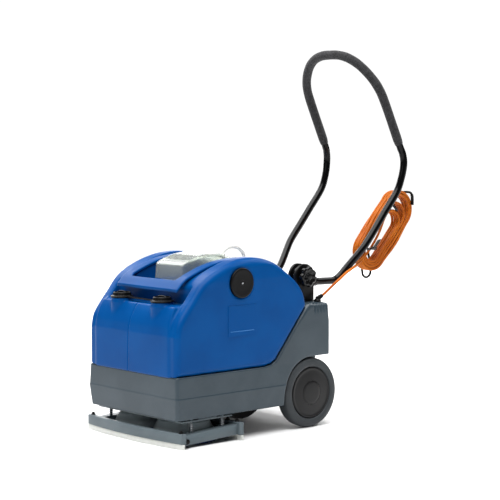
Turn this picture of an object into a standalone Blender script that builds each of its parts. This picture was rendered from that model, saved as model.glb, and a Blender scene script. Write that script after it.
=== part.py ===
"""Walk-behind floor scrubber dryer with two brushes, a front and a rear squeegee and a folding handle.

Metres, +Z up. The squeegee end faces -Y and the handle end +Y. The origin is on the floor, under the
middle of the machine's length and width (its mains cable left out).
"""
import math

import bmesh
import bpy
from mathutils import Matrix, Vector

# ---- driving dimensions -------------------------------------------------------------------------
GAP = 0.0003                # air between pieces that touch
NOSE = -0.4771              # Y of the nose datum: lengths below are measured back from here
WALL = 0.005                # moulded wall of the chassis and of the tank

HALF_WIDTH = 0.199          # chassis at its crease
TANK_HALF = 0.196
FRONT = -0.004              # front face of the tank, ahead of the nose datum
CHASSIS_BOTTOM = 0.074
CREASE_Z = 0.133
DECK_Z = 0.1915             # where the tank meets the chassis along the front part
TOWER_Z = 0.356             # top of the rear tower
TOWER_BACK = 0.562
CORE_HALF = 0.140           # chassis between the wheels

WHEEL_R = 0.100
AXLE_AT = 0.492
AXLE_R = 0.010
TYRE_IN = 0.152
TYRE_OUT = 0.197
RIM_R = 0.073
ARCH_R = 0.104

PIVOT_AT = 0.510            # handle hinge
PIVOT_Z = 0.429
TUBE_X = 0.1305             # handle leg where it enters its hinge eye
TUBE_R = 0.011
FOAM_R = 0.0137
SOCKET_Z = 0.4105
EAR_R = 0.036
EAR_T = 0.009

BRUSH_X = 0.0865            # brush axis from the centre line
BRUSH_AT = 0.108
BRUSH_R = 0.0825
GEAR_TEETH = 20
PLATE_Z = 0.066             # underside of the deck plate
PLATE_T = 0.004

ARM_IN = 0.172
ARM_OUT = 0.200
SQUEEGEE_HALF = 0.209
BLADE_HALF = 0.215
BLADE_Z = 0.0145
BOW = 0.016                 # how far the front squeegee bows forward at its middle

KNOB_AT = 0.225
KNOB_Z = 0.432

CAP_X = 0.089
CAP_AT = 0.032
LEDGE_Z = 0.378
NECK_Z = 0.385

GLAND_LEAN = math.radians(65)
CABLE_R = 0.00375
COIL_X = (0.104, 0.136)
COIL_CENTRE = (0.859, 0.546)
COIL_ANGLE = math.radians(46.5)
COIL_HALF_RUN = 0.083       # half the straight run between the coil's round ends
COIL_OUT = 0.0600
COIL_IN = 0.026

# Points of the side outlines: (distance behind the nose, height)
HUMP = [(FRONT, 0.300), (0.008, 0.340), (0.051, 0.394), (0.101, 0.447), (0.195, 0.487),
        (0.282, 0.498), (0.356, 0.480), (0.431, 0.428), (0.463, 0.390), (0.4745, 0.3525)]
SEAM = [(0.4695, 0.3440), (0.357, 0.206), (0.338, 0.1955), (0.310, DECK_Z)]
FRAME_TOP = [(0.048, 0.420), (0.072, 0.443), (0.098, 0.457), (0.157, 0.478), (0.220, 0.4905),
             (0.280, 0.4935), (0.330, 0.488)]

# Half of the handle's centre line: (half spacing, distance behind the nose, height)
HANDLE = [(0.1305, 0.552, 0.4105), (0.1305, 0.612, 0.4085), (0.1310, 0.643, 0.4090),
          (0.1330, 0.662, 0.418), (0.1375, 0.680, 0.4355), (0.1440, 0.698, 0.4555),
          (0.1530, 0.720, 0.4805), (0.1600, 0.744, 0.5085), (0.1610, 0.785, 0.555),
          (0.1610, 0.825, 0.602), (0.1620, 0.875, 0.660), (0.1635, 0.8955, 0.706),
          (0.1650, 0.903, 0.745), (0.1630, 0.900, 0.775), (0.1600, 0.887, 0.805),
          (0.1580, 0.827, 0.928), (0.1520, 0.804, 0.973), (0.1345, 0.786, 1.008),
          (0.1055, 0.770, 1.040), (0.0730, 0.760, 1.060), (0.0380, 0.755, 1.070), (0.0, 0.754, 1.072)]
FOAM_FROM_Z = 0.803

LEAD = [(0.165, 0.5616, 0.3719), (0.1648, 0.5740, 0.3783), (0.1640, 0.5920, 0.3890),
        (0.1632, 0.6120, 0.4010), (0.1620, 0.6370, 0.4150), (0.1605, 0.6600, 0.4280),
        (0.1595, 0.6800, 0.4375), (0.1572, 0.7000, 0.4450), (0.1528, 0.7190, 0.4520),
        (0.1470, 0.7390, 0.4600), (0.1427, 0.7570, 0.4705), (0.1408, 0.7750, 0.4845),
        (0.1402, 0.7900, 0.4985)]


def y(distance):
    """Y of a point that lies this far behind the nose."""
    return NOSE + distance


# ---- scene and material helpers -----------------------------------------------------------------
def clear_scene():
    for thing in list(bpy.data.objects):
        bpy.data.objects.remove(thing, do_unlink=True)


def plastic(name, colour, roughness, metallic=0.0, alpha=1.0):
    """A Principled material from a linear colour."""
    made = bpy.data.materials.new(name)
    made.use_nodes = True
    shader = made.node_tree.nodes["Principled BSDF"]
    shader.inputs["Base Color"].default_value = (*colour, 1.0)
    shader.inputs["Roughness"].default_value = roughness
    shader.inputs["Metallic"].default_value = metallic
    shader.inputs["Alpha"].default_value = alpha
    return made


# ---- mesh helpers -------------------------------------------------------------------------------
def object_from(name, bm, material, pivot=(0.0, 0.0, 0.0)):
    """Make an object from a bmesh in world places, with its origin at the pivot."""
    bmesh.ops.recalc_face_normals(bm, faces=bm.faces)
    bmesh.ops.translate(bm, verts=bm.verts, vec=-Vector(pivot))
    mesh = bpy.data.meshes.new(name)
    bm.to_mesh(mesh)
    bm.free()
    made = bpy.data.objects.new(name, mesh)
    made.location = pivot
    bpy.context.collection.objects.link(made)
    if material is not None:
        mesh.materials.append(material)
    mesh.shade_smooth()
    mesh.set_sharp_from_angle(angle=math.radians(35))
    return made


def cutter(name, bm, pivot=(0.0, 0.0, 0.0)):
    made = object_from(name, bm, None, pivot)
    made.hide_render = True
    made.display_type = "WIRE"
    return made


def combine(target, other, operation):
    """Leave an exact Boolean on the target."""
    modifier = target.modifiers.new(operation.lower(), "BOOLEAN")
    modifier.operation = operation
    modifier.solver = "EXACT"
    modifier.object = other


def axis_point(axis, along, a, b):
    """A point from its place along an axis and its two other coordinates in X, Y, Z order."""
    if axis == "X":
        return (along, a, b)
    if axis == "Y":
        return (a, along, b)
    return (a, b, along)


def prism(outline, axis, low, high, bm=None):
    """Extrude a closed outline along an axis. The outline lists the two other coordinates."""
    bm = bm or bmesh.new()
    start = [bm.verts.new(axis_point(axis, low, a, b)) for a, b in outline]
    end = [bm.verts.new(axis_point(axis, high, a, b)) for a, b in outline]
    bm.faces.new(start)
    bm.faces.new(end)
    count = len(outline)
    for i in range(count):
        j = (i + 1) % count
        bm.faces.new((start[i], start[j], end[j], end[i]))
    return bm


def block(low, high, bm=None):
    outline = [(low[0], low[1]), (high[0], low[1]), (high[0], high[1]), (low[0], high[1])]
    return prism(outline, "Z", low[2], high[2], bm)


def turned(profile, axis, centre, sides, bm=None):
    """Turn a closed profile of (radius, place along the axis) about an axis through the centre."""
    bm = bm or bmesh.new()
    rings = []
    for radius, along in profile:
        if radius < 1e-7:
            spot = Vector(centre) + Vector(axis_point(axis, along, 0.0, 0.0))
            rings.append([bm.verts.new(spot)])
            continue
        ring = []
        for k in range(sides):
            turn = 2.0 * math.pi * k / sides
            offset = axis_point(axis, along, radius * math.cos(turn), radius * math.sin(turn))
            ring.append(bm.verts.new(Vector(centre) + Vector(offset)))
        rings.append(ring)
    count = len(rings)
    for i in range(count):
        one = rings[i]
        two = rings[(i + 1) % count]
        if len(one) == 1 and len(two) == 1:
            continue
        for k in range(sides):
            m = (k + 1) % sides
            if len(one) == 1:
                bm.faces.new((one[0], two[k], two[m]))
            elif len(two) == 1:
                bm.faces.new((one[k], two[0], one[m]))
            else:
                bm.faces.new((one[k], two[k], two[m], one[m]))
    return bm


def arc(centre, radius, start, end, steps):
    """Points on an arc between two angles in degrees."""
    points = []
    for k in range(steps + 1):
        turn = math.radians(start + (end - start) * k / steps)
        points.append((centre[0] + radius * math.cos(turn), centre[1] + radius * math.sin(turn)))
    return points


def smooth_path(points, per_span):
    """A Catmull-Rom curve through the points."""
    spots = [Vector(p) for p in points]
    spots = [2 * spots[0] - spots[1]] + spots + [2 * spots[-1] - spots[-2]]
    path = []
    for i in range(1, len(spots) - 2):
        a, b, c, d = spots[i - 1:i + 3]
        for k in range(per_span):
            t = k / per_span
            path.append(0.5 * ((2 * b) + (c - a) * t + (2 * a - 5 * b + 4 * c - d) * t ** 2
                               + (3 * b - a - 3 * c + d) * t ** 3))
    path.append(spots[-2])
    return path


def inset(outline, distance):
    """Move each side of a closed outline inwards by a distance."""
    count = len(outline)
    area = sum(outline[i][0] * outline[(i + 1) % count][1] - outline[(i + 1) % count][0] * outline[i][1]
               for i in range(count))
    side = 1.0 if area > 0 else -1.0
    moved = []
    for i in range(count):
        before = Vector(outline[i]) - Vector(outline[i - 1])
        after = Vector(outline[(i + 1) % count]) - Vector(outline[i])
        n1 = Vector((-before.y, before.x)).normalized() * side
        n2 = Vector((-after.y, after.x)).normalized() * side
        bisector = (n1 + n2).normalized()
        reach = distance / max(bisector.dot(n1), 0.3)
        moved.append(tuple(Vector(outline[i]) + bisector * reach))
    return moved


def back_from_nose(outline):
    return [(y(distance), height) for distance, height in outline]


def rounded_plan(half, front, back, radius, steps):
    """A plan rectangle with round corners."""
    points = arc((half - radius, back - radius), radius, 0, 90, steps)
    points += arc((-half + radius, back - radius), radius, 90, 180, steps)
    points += arc((-half + radius, front + radius), radius, 180, 270, steps)
    points += arc((half - radius, front + radius), radius, 270, 360, steps)
    return points


def envelope(levels, radius, steps):
    """A body of stacked round-cornered plans: each level is (height, half width, front, back)."""
    bm = bmesh.new()
    rings = []
    for height, half, front, back in levels:
        plan = rounded_plan(half, y(front), y(back), radius, steps)
        rings.append([bm.verts.new((a, b, height)) for a, b in plan])
    bm.faces.new(rings[0])
    bm.faces.new(rings[-1])
    count = len(rings[0])
    for low, high in zip(rings, rings[1:]):
        for i in range(count):
            j = (i + 1) % count
            bm.faces.new((low[i], low[j], high[j], high[i]))
    return bm


def swept(path, radii, sides, first=0, last=None):
    """Sweep a round section along a path of points; two radii make a sleeve, outer one first.

    The sides keep their turn along the whole path, so a sleeve over part of it matches its tube.
    """
    normal = Vector((0.0, 0.0, 1.0))
    if abs((path[1] - path[0]).normalized().z) > 0.9:
        normal = Vector((1.0, 0.0, 0.0))
    frames = []
    for i, spot in enumerate(path):
        tangent = (path[min(i + 1, len(path) - 1)] - path[max(i - 1, 0)]).normalized()
        normal = (normal - tangent * normal.dot(tangent)).normalized()
        frames.append((spot, normal.copy(), tangent.cross(normal)))
    bm = bmesh.new()
    shells = []
    for radius in radii:
        rings = []
        for spot, one, two in frames[first:last]:
            ring = []
            for k in range(sides):
                turn = 2.0 * math.pi * k / sides
                ring.append(bm.verts.new(spot + radius * (one * math.cos(turn) + two * math.sin(turn))))
            rings.append(ring)
        for near, far in zip(rings, rings[1:]):
            for k in range(sides):
                m = (k + 1) % sides
                bm.faces.new((near[k], far[k], far[m], near[m]))
        shells.append(rings)
    if len(shells) == 1:
        bm.faces.new(shells[0][0])
        bm.faces.new(shells[0][-1])
        return bm
    for end in (0, -1):
        for k in range(sides):
            m = (k + 1) % sides
            bm.faces.new((shells[0][end][k], shells[1][end][k], shells[1][end][m], shells[0][end][m]))
    return bm


# ---- materials ----------------------------------------------------------------------------------
def make_materials():
    return {
        "tank_blue": plastic("tank_blue", (0.0, 0.082, 0.323), 0.38),
        "chassis_grey": plastic("chassis_grey", (0.072, 0.085, 0.098), 0.5),
        "trim_black": plastic("trim_black", (0.012, 0.012, 0.013), 0.45),
        "hub_black": plastic("hub_black", (0.025, 0.025, 0.026), 0.4),
        "tyre_rubber": plastic("tyre_rubber", (0.042, 0.046, 0.051), 0.75),
        "tube_black": plastic("tube_black", (0.006, 0.006, 0.007), 0.15),
        "foam_grip": plastic("foam_grip", (0.035, 0.035, 0.036), 0.9),
        "cable_orange": plastic("cable_orange", (0.60, 0.13, 0.015), 0.4),
        "plug_black": plastic("plug_black", (0.015, 0.015, 0.016), 0.5),
        "clear_cover": plastic("clear_cover", (0.72, 0.76, 0.72), 0.1, alpha=0.45),
        "clear_hose": plastic("clear_hose", (0.75, 0.76, 0.72), 0.25, alpha=0.6),
        "blade_rubber": plastic("blade_rubber", (0.66, 0.68, 0.62), 0.35, alpha=0.8),
        "bristle_blue": plastic("bristle_blue", (0.003, 0.024, 0.147), 0.6),
        "deck_grey": plastic("deck_grey", (0.06, 0.066, 0.07), 0.5),
        "steel": plastic("steel", (0.45, 0.45, 0.46), 0.35, metallic=1.0),
        "gear_nylon": plastic("gear_nylon", (0.70, 0.68, 0.60), 0.5),
        "label_blue": plastic("label_blue", (0.0, 0.045, 0.22), 0.45),
    }


# ---- chassis ------------------------------------------------------------------------------------
def chassis_side(bottom):
    """The side outline of the flanks, with the wheel arch."""
    arch = arc((AXLE_AT, 0.1005), ARCH_R, 180, 90, 10)
    front = [(FRONT - 0.003, bottom), (AXLE_AT - ARCH_R, bottom)]
    tower = [(TOWER_BACK, 0.2045), (TOWER_BACK, TOWER_Z), (0.484, TOWER_Z)]
    return front + arch + tower + SEAM + [(FRONT - 0.003, DECK_Z)]


def core_side(bottom):
    """The side outline of the part between the wheels."""
    return [(0.350, bottom), (TOWER_BACK, bottom), (TOWER_BACK, TOWER_Z), (0.484, TOWER_Z)] + SEAM[:3]


def make_chassis(mats):
    flanks = back_from_nose(chassis_side(CHASSIS_BOTTOM))
    shell = object_from("chassis_shell", prism(flanks, "X", -0.21, 0.21), mats["chassis_grey"])
    skin = envelope([(0.05, HALF_WIDTH - 0.0065, FRONT + 0.0045, TOWER_BACK),
                     (CREASE_Z, HALF_WIDTH, FRONT - 0.003, TOWER_BACK),
                     (DECK_Z, TANK_HALF, FRONT, TOWER_BACK), (0.40, TANK_HALF, FRONT, TOWER_BACK)],
                    0.013, 3)
    combine(shell, cutter("chassis_skin", skin), "INTERSECT")
    core = back_from_nose(core_side(0.100))
    combine(shell, cutter("chassis_core", prism(core, "X", -CORE_HALF, CORE_HALF)), "UNION")
    inner = back_from_nose(inset(chassis_side(0.030), WALL))
    room = prism(inner, "X", -HALF_WIDTH + 0.011, HALF_WIDTH - 0.011)
    combine(shell, cutter("chassis_inside", room), "DIFFERENCE")
    inner_core = back_from_nose(inset(core_side(0.030), WALL))
    room = prism(inner_core, "X", -CORE_HALF + WALL, CORE_HALF - WALL)
    combine(shell, cutter("chassis_core_inside", room), "DIFFERENCE")
    bore = turned([(AXLE_R + GAP, -0.16), (AXLE_R + GAP, 0.16), (0.0, 0.16), (0.0, -0.16)], "X",
                  (0.0, y(AXLE_AT), WHEEL_R), 24)
    combine(shell, cutter("axle_bore", bore), "DIFFERENCE")
    return shell


def make_wheels(mats):
    centre = (0.0, y(AXLE_AT), WHEEL_R)
    axle = [(0.0, -0.1925), (AXLE_R, -0.1925), (AXLE_R, 0.1925), (0.0, 0.1925)]
    object_from("axle", turned(axle, "X", centre, 24), mats["steel"], centre)
    bore = AXLE_R + 0.0004
    for side, word in ((-1, "left"), (1, "right")):
        tyre = [(RIM_R + GAP, TYRE_IN), (0.092, TYRE_IN), (0.098, TYRE_IN + 0.004),
                (WHEEL_R, TYRE_IN + 0.010), (WHEEL_R, TYRE_OUT - 0.010), (0.098, TYRE_OUT - 0.004),
                (0.092, TYRE_OUT), (RIM_R + GAP, TYRE_OUT - 0.001)]
        rim = [(bore, 0.1425), (0.020, 0.1425), (0.020, 0.156), (RIM_R, 0.156), (RIM_R, 0.190),
               (0.066, 0.1905), (0.062, 0.186), (0.040, 0.185), (0.036, 0.187), (bore, 0.187)]
        cap = [(bore, 0.1874), (0.034, 0.1874), (0.034, 0.1905), (0.028, 0.1945), (0.0, 0.1965),
               (0.0, 0.1935), (bore, 0.1935)]
        for node, profile, slot in (("tyre", tyre, "tyre_rubber"), ("rim", rim, "hub_black"),
                                    ("hubcap", cap, "hub_black")):
            placed = [(radius, side * along) for radius, along in profile]
            bm = turned(placed, "X", centre, 32 if node != "hubcap" else 20)
            object_from(node + "_" + word, bm, mats[slot], centre)


# ---- tank ---------------------------------------------------------------------------------------
def hump_outline():
    """The side outline of the tank, down to the seam with the chassis."""
    crest = [(p.x, p.y) for p in smooth_path([(a, b, 0.0) for a, b in HUMP], 3)]
    lift = GAP * 1.6
    seam = [(distance - 0.0002, height + lift) for distance, height in SEAM]
    return [(FRONT, DECK_Z + GAP)] + crest + seam


def frame_line(offset):
    """The top line of the carrying frame, moved up or down."""
    path = smooth_path([(a, b + offset, 0.0) for a, b in FRAME_TOP], 2)
    return [(p.x, p.y) for p in path]


def make_tank(mats):
    hump = back_from_nose(hump_outline())
    tank = object_from("tank_shell", prism(hump, "X", -0.21, 0.21), mats["tank_blue"])
    skin = envelope([(0.15, TANK_HALF, FRONT, 0.60), (0.440, TANK_HALF, FRONT, 0.60),
                     (0.478, TANK_HALF - 0.003, FRONT, 0.60), (0.492, TANK_HALF - 0.010, FRONT, 0.60),
                     (0.500, TANK_HALF - 0.022, FRONT, 0.60)], 0.016, 4)
    combine(tank, cutter("tank_skin", skin), "INTERSECT")
    brow = back_from_nose([(FRONT + 0.0004, DECK_Z + GAP), (FRONT + 0.0004, 0.330), (0.020, LEDGE_Z),
                           (0.10, LEDGE_Z), (0.10, DECK_Z + GAP)])
    combine(tank, cutter("front_ledge", prism(brow, "X", -0.160, 0.160)), "UNION")
    for word, x in (("left", -CAP_X), ("right", CAP_X)):
        spout = [(0.0, 0.30), (0.0312, 0.30), (0.0302, NECK_Z), (0.0, NECK_Z)]
        combine(tank, cutter("spout_" + word, turned(spout, "Z", (x, y(CAP_AT), 0.0), 20)), "UNION")
    over = frame_line(-0.0095)
    trough = back_from_nose([(0.066, 0.56)] + [p for p in over if p[0] > 0.071] + [(0.40, 0.470),
                                                                                    (0.44, 0.56)])
    combine(tank, cutter("frame_trough", prism(trough, "X", -0.1375, 0.1375)), "DIFFERENCE")
    combine(tank, cutter("cap_bay", block((-0.159, y(-0.03), LEDGE_Z + 0.0001),
                                          (0.159, y(0.078), 0.56))), "DIFFERENCE")
    for word, x in (("left", -CAP_X), ("right", CAP_X)):
        spout = [(0.0, LEDGE_Z - 0.01), (0.0302, LEDGE_Z - 0.01), (0.0302, NECK_Z), (0.0, NECK_Z)]
        combine(tank, cutter("neck_" + word, turned(spout, "Z", (x, y(CAP_AT), 0.0), 20)), "UNION")
    combine(tank, cutter("cover_well", block((-0.104, y(0.074), 0.425), (0.104, y(0.395), 0.56))),
            "DIFFERENCE")
    inner = inset(hump_outline(), WALL)
    low = [(a, min(b, 0.368)) for a, b in inner]
    low[0] = (low[0][0], DECK_Z - 0.03)
    low[-1] = (low[-1][0], DECK_Z - 0.03)
    clear_half = TANK_HALF - WALL
    room = prism(back_from_nose(low), "X", -clear_half, clear_half)
    combine(tank, cutter("tank_inside", room), "DIFFERENCE")
    under = [(0.03, 0.15), (0.32, 0.15), (0.333, 0.189), (0.350, 0.200), (0.458, 0.332),
             (0.452, 0.345), (0.03, 0.345)]
    foot = prism(back_from_nose(under), "X", -clear_half, clear_half)
    combine(tank, cutter("tank_foot", foot), "DIFFERENCE")
    for word, x in (("left", -CAP_X), ("right", CAP_X)):
        bore = turned([(0.0, 0.34), (0.0242, 0.34), (0.0242, 0.40), (0.0, 0.40)], "Z",
                      (x, y(CAP_AT), 0.0), 20)
        combine(tank, cutter("neck_bore_" + word, bore), "DIFFERENCE")
    seat = turned([(0.0, TANK_HALF - 0.0035), (0.0437, TANK_HALF - 0.0035), (0.0437, 0.21), (0.0, 0.21)],
                  "X", (0.0, y(KNOB_AT), KNOB_Z), 32)
    combine(tank, cutter("knob_seat", seat), "DIFFERENCE")
    for word, low_x, high_x in (("left", -0.144, -0.130), ("right", 0.130, 0.144)):
        hole = turned([(0.0, low_x), (0.0043, low_x), (0.0043, high_x), (0.0, high_x)], "X",
                      (0.0, y(0.330), 0.4835), 12)
        combine(tank, cutter("frame_pin_hole_" + word, hole), "DIFFERENCE")
    return tank


def make_carry_frame(mats):
    """The U-shaped carrying frame, hinged on two studs at its rear."""
    top = frame_line(0.0)
    under = frame_line(-0.0088)
    tip = arc((0.330, 0.4835), 0.0046, 80, -80, 4)
    outline = back_from_nose(top[:-1] + tip + list(reversed(under[:-1])))
    pivot = (0.0, y(0.330), 0.4835)
    made = object_from("carry_frame", prism(outline, "X", -0.134, 0.134), mats["tank_blue"], pivot)
    hole = block((-0.100, y(0.0725), 0.40), (0.100, y(0.36), 0.52))
    combine(made, cutter("carry_frame_hole", hole), "DIFFERENCE")
    for word, low_x, high_x in (("left", -0.1425, -0.120), ("right", 0.120, 0.1425)):
        stud = turned([(0.0, low_x), (0.0038, low_x), (0.0038, high_x), (0.0, high_x)], "X", pivot, 12)
        combine(made, cutter("carry_stud_" + word, stud), "UNION")
    return made


def make_cover(mats):
    """The clear cover over the recovery inlet, open below, with a lower tail at its rear."""
    main = [(0.121, 0.4345), (0.128, 0.476), (0.136, 0.482), (0.152, 0.4895), (0.188, 0.4995),
            (0.223, 0.504), (0.262, 0.5035), (0.286, 0.5015), (0.290, 0.4345)]
    tail = [(0.280, 0.4345), (0.280, 0.4925), (0.310, 0.491), (0.345, 0.487), (0.372, 0.483),
            (0.380, 0.4345)]
    cover = object_from("clear_cover", prism(back_from_nose(main), "X", -0.060, 0.060),
                        mats["clear_cover"])
    combine(cover, cutter("cover_tail", prism(back_from_nose(tail), "X", -0.046, 0.046)), "UNION")
    room = back_from_nose([(0.1240, 0.40), (0.1310, 0.4735), (0.150, 0.4850), (0.188, 0.4965),
                           (0.223, 0.501), (0.262, 0.5005), (0.283, 0.4985), (0.2868, 0.40)])
    combine(cover, cutter("cover_room", prism(room, "X", -0.057, 0.057)), "DIFFERENCE")
    back = back_from_nose([(0.260, 0.40), (0.260, 0.4895), (0.310, 0.488), (0.345, 0.484),
                           (0.3695, 0.480), (0.3768, 0.40)])
    combine(cover, cutter("cover_back", prism(back, "X", -0.043, 0.043)), "DIFFERENCE")
    hose = smooth_path([(0.0, y(0.3235), 0.4915), (0.0, y(0.3290), 0.5015), (0.0, y(0.3420), 0.5105),
                        (0.0, y(0.3630), 0.5140), (0.0, y(0.3850), 0.5090), (0.0, y(0.4010), 0.4960),
                        (0.0, y(0.4090), 0.4790), (0.0, y(0.4115), 0.4530)], 2)
    object_from("vent_hose", swept(hose, [0.004], 8), mats["clear_hose"])
    return cover


def make_caps(mats):
    for word, x in (("left", -CAP_X), ("right", CAP_X)):
        centre = (x, y(CAP_AT), NECK_Z)
        cap = [(0.0, -0.006), (0.0235, -0.006), (0.0235, 0.0003), (0.0315, 0.0003), (0.0320, 0.0020),
               (0.0315, 0.0045), (0.0265, 0.0050), (0.0255, 0.0120), (0.0225, 0.0155), (0.0, 0.0165)]
        object_from("tank_cap_" + word, turned(cap, "Z", centre, 24), mats["trim_black"], centre)
    strap = [(-0.0565, y(0.0280)), (0.0565, y(0.0300)), (0.0565, y(0.0350)), (-0.0565, y(0.0400))]
    object_from("cap_strap", prism(strap, "Z", 0.3855, 0.3885), mats["trim_black"])


def make_dosing_knob(mats):
    centre = (0.0, y(KNOB_AT), KNOB_Z)
    seat = TANK_HALF - 0.0035 + GAP
    knob = [(0.0, seat), (0.0415, seat), (0.0415, seat + 0.0057), (0.0395, seat + 0.0082),
            (0.0060, seat + 0.0088), (0.0045, seat + 0.0074), (0.0, seat + 0.0074)]
    object_from("dosing_knob", turned(knob, "X", centre, 32), mats["trim_black"], centre)
    plate = [(y(0.176), 0.286), (y(0.278), 0.286), (y(0.278), 0.371), (y(0.176), 0.371)]
    object_from("label_plate", prism(plate, "X", TANK_HALF + GAP, TANK_HALF + 0.0013),
                mats["label_blue"])


# ---- brush drive --------------------------------------------------------------------------------
def gear_outline(phase, radius_out, radius_root):
    """A spur gear's outline about its own centre."""
    points = []
    step = 2.0 * math.pi / GEAR_TEETH
    for tooth in range(GEAR_TEETH):
        middle = phase + tooth * step
        for share, radius in ((-0.31, radius_root), (-0.135, radius_out), (0.135, radius_out),
                              (0.31, radius_root)):
            turn = middle + share * step
            points.append((radius * math.cos(turn), radius * math.sin(turn)))
    return points


def make_brush_drive(mats):
    pitch = 2.0 * BRUSH_X / 3.0
    pitch_r = pitch / 2.0
    top = PLATE_Z + PLATE_T
    plate = object_from("deck_plate", block((-0.1845, y(0.020), PLATE_Z), (0.1845, y(0.200), top)),
                        mats["deck_grey"])
    flange = block((-0.1842, y(0.080), PLATE_Z + 0.001), (-0.1815, y(0.145), 0.112))
    combine(plate, cutter("plate_flange_left", flange), "UNION")
    flange = block((0.1815, y(0.080), PLATE_Z + 0.001), (0.1842, y(0.145), 0.112))
    combine(plate, cutter("plate_flange_right", flange), "UNION")
    gears = [("brush_gear_left", -BRUSH_X), ("idler_gear_left", -pitch_r), ("idler_gear_right", pitch_r),
             ("brush_gear_right", BRUSH_X)]
    step = 2.0 * math.pi / GEAR_TEETH
    for i, (name, x) in enumerate(gears):
        centre = (x, y(BRUSH_AT), 0.080)
        phase = 0.5 * step if i % 2 else 0.0
        outline = gear_outline(phase, pitch_r + 0.0024, pitch_r - 0.0030)
        placed = [(x + a, y(BRUSH_AT) + b) for a, b in outline]
        gear = object_from(name, prism(placed, "Z", 0.0745, 0.0865), mats["gear_nylon"], centre)
        driven = name.startswith("brush")
        radius = 0.008 if driven else 0.005
        low = 0.034 if driven else 0.0667
        high = 0.102 if name == "idler_gear_left" else 0.0905
        shaft = turned([(0.0, low), (radius, low), (radius, 0.080), (0.005, 0.081), (0.005, high),
                        (0.0, high)], "Z", (x, y(BRUSH_AT), 0.0), 16)
        combine(gear, cutter(name + "_shaft", shaft), "UNION")
        hole = turned([(0.0, 0.05), (radius + 0.0004, 0.05), (radius + 0.0004, 0.075), (0.0, 0.075)],
                      "Z", (x, y(BRUSH_AT), 0.0), 16)
        combine(plate, cutter(name + "_hole", hole), "DIFFERENCE")
    for word, x in (("left", -0.178), ("right", 0.178)):
        for end, at in (("front", 0.058), ("rear", 0.168)):
            hole = turned([(0.0, 0.05), (0.0045, 0.05), (0.0045, 0.075), (0.0, 0.075)], "Z",
                          (x, y(at), 0.0), 12)
            combine(plate, cutter("post_hole_" + word + "_" + end, hole), "DIFFERENCE")
    case = object_from("gear_case", block((-0.124, y(BRUSH_AT - 0.038), top + GAP),
                                          (0.124, y(BRUSH_AT + 0.038), 0.0955)), mats["trim_black"])
    room = block((-0.121, y(BRUSH_AT - 0.035), 0.05), (0.121, y(BRUSH_AT + 0.035), 0.0925))
    combine(case, cutter("gear_case_room", room), "DIFFERENCE")
    hole = turned([(0.0, 0.09), (0.0054, 0.09), (0.0054, 0.10), (0.0, 0.10)], "Z",
                  (-pitch_r, y(BRUSH_AT), 0.0), 16)
    combine(case, cutter("motor_shaft_hole", hole), "DIFFERENCE")
    motor = [(0.0054, 0.0958), (0.042, 0.0958), (0.042, 0.150), (0.036, 0.158), (0.0, 0.158),
             (0.0, 0.104), (0.0054, 0.104)]
    object_from("brush_motor", turned(motor, "Z", (-pitch_r, y(BRUSH_AT), 0.0), 24), mats["steel"])


def make_brushes(mats):
    for word, x in (("left", -BRUSH_X), ("right", BRUSH_X)):
        centre = (x, y(BRUSH_AT), 0.022)
        hub = [(0.0, 0.0223), (BRUSH_R, 0.0223), (BRUSH_R, 0.034), (0.0790, 0.040), (0.0720, 0.054),
               (0.066, 0.0585), (0.030, 0.0600), (0.0084, 0.0600), (0.0084, 0.0337), (0.0, 0.0337)]
        object_from("brush_block_" + word, turned(hub, "Z", centre[:2] + (0.0,), 28),
                    mats["trim_black"], centre)
        tuft = [(0.046, 0.0), (0.0855, 0.0), (0.0820, 0.0220), (0.048, 0.0220)]
        object_from("brush_bristles_" + word, turned(tuft, "Z", centre[:2] + (0.0,), 28),
                    mats["bristle_blue"], centre)


# ---- squeegees ----------------------------------------------------------------------------------
def bowed_plan(half, front, thickness):
    """A plan strip whose front edge bows forward at its middle."""
    steps = 10
    edge = []
    for k in range(steps + 1):
        x = -half + 2.0 * half * k / steps
        edge.append((x, y(front - BOW * (1.0 - (x / half) ** 2))))
    back = [(x, b + thickness) for x, b in reversed(edge)]
    return edge + back


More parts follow.
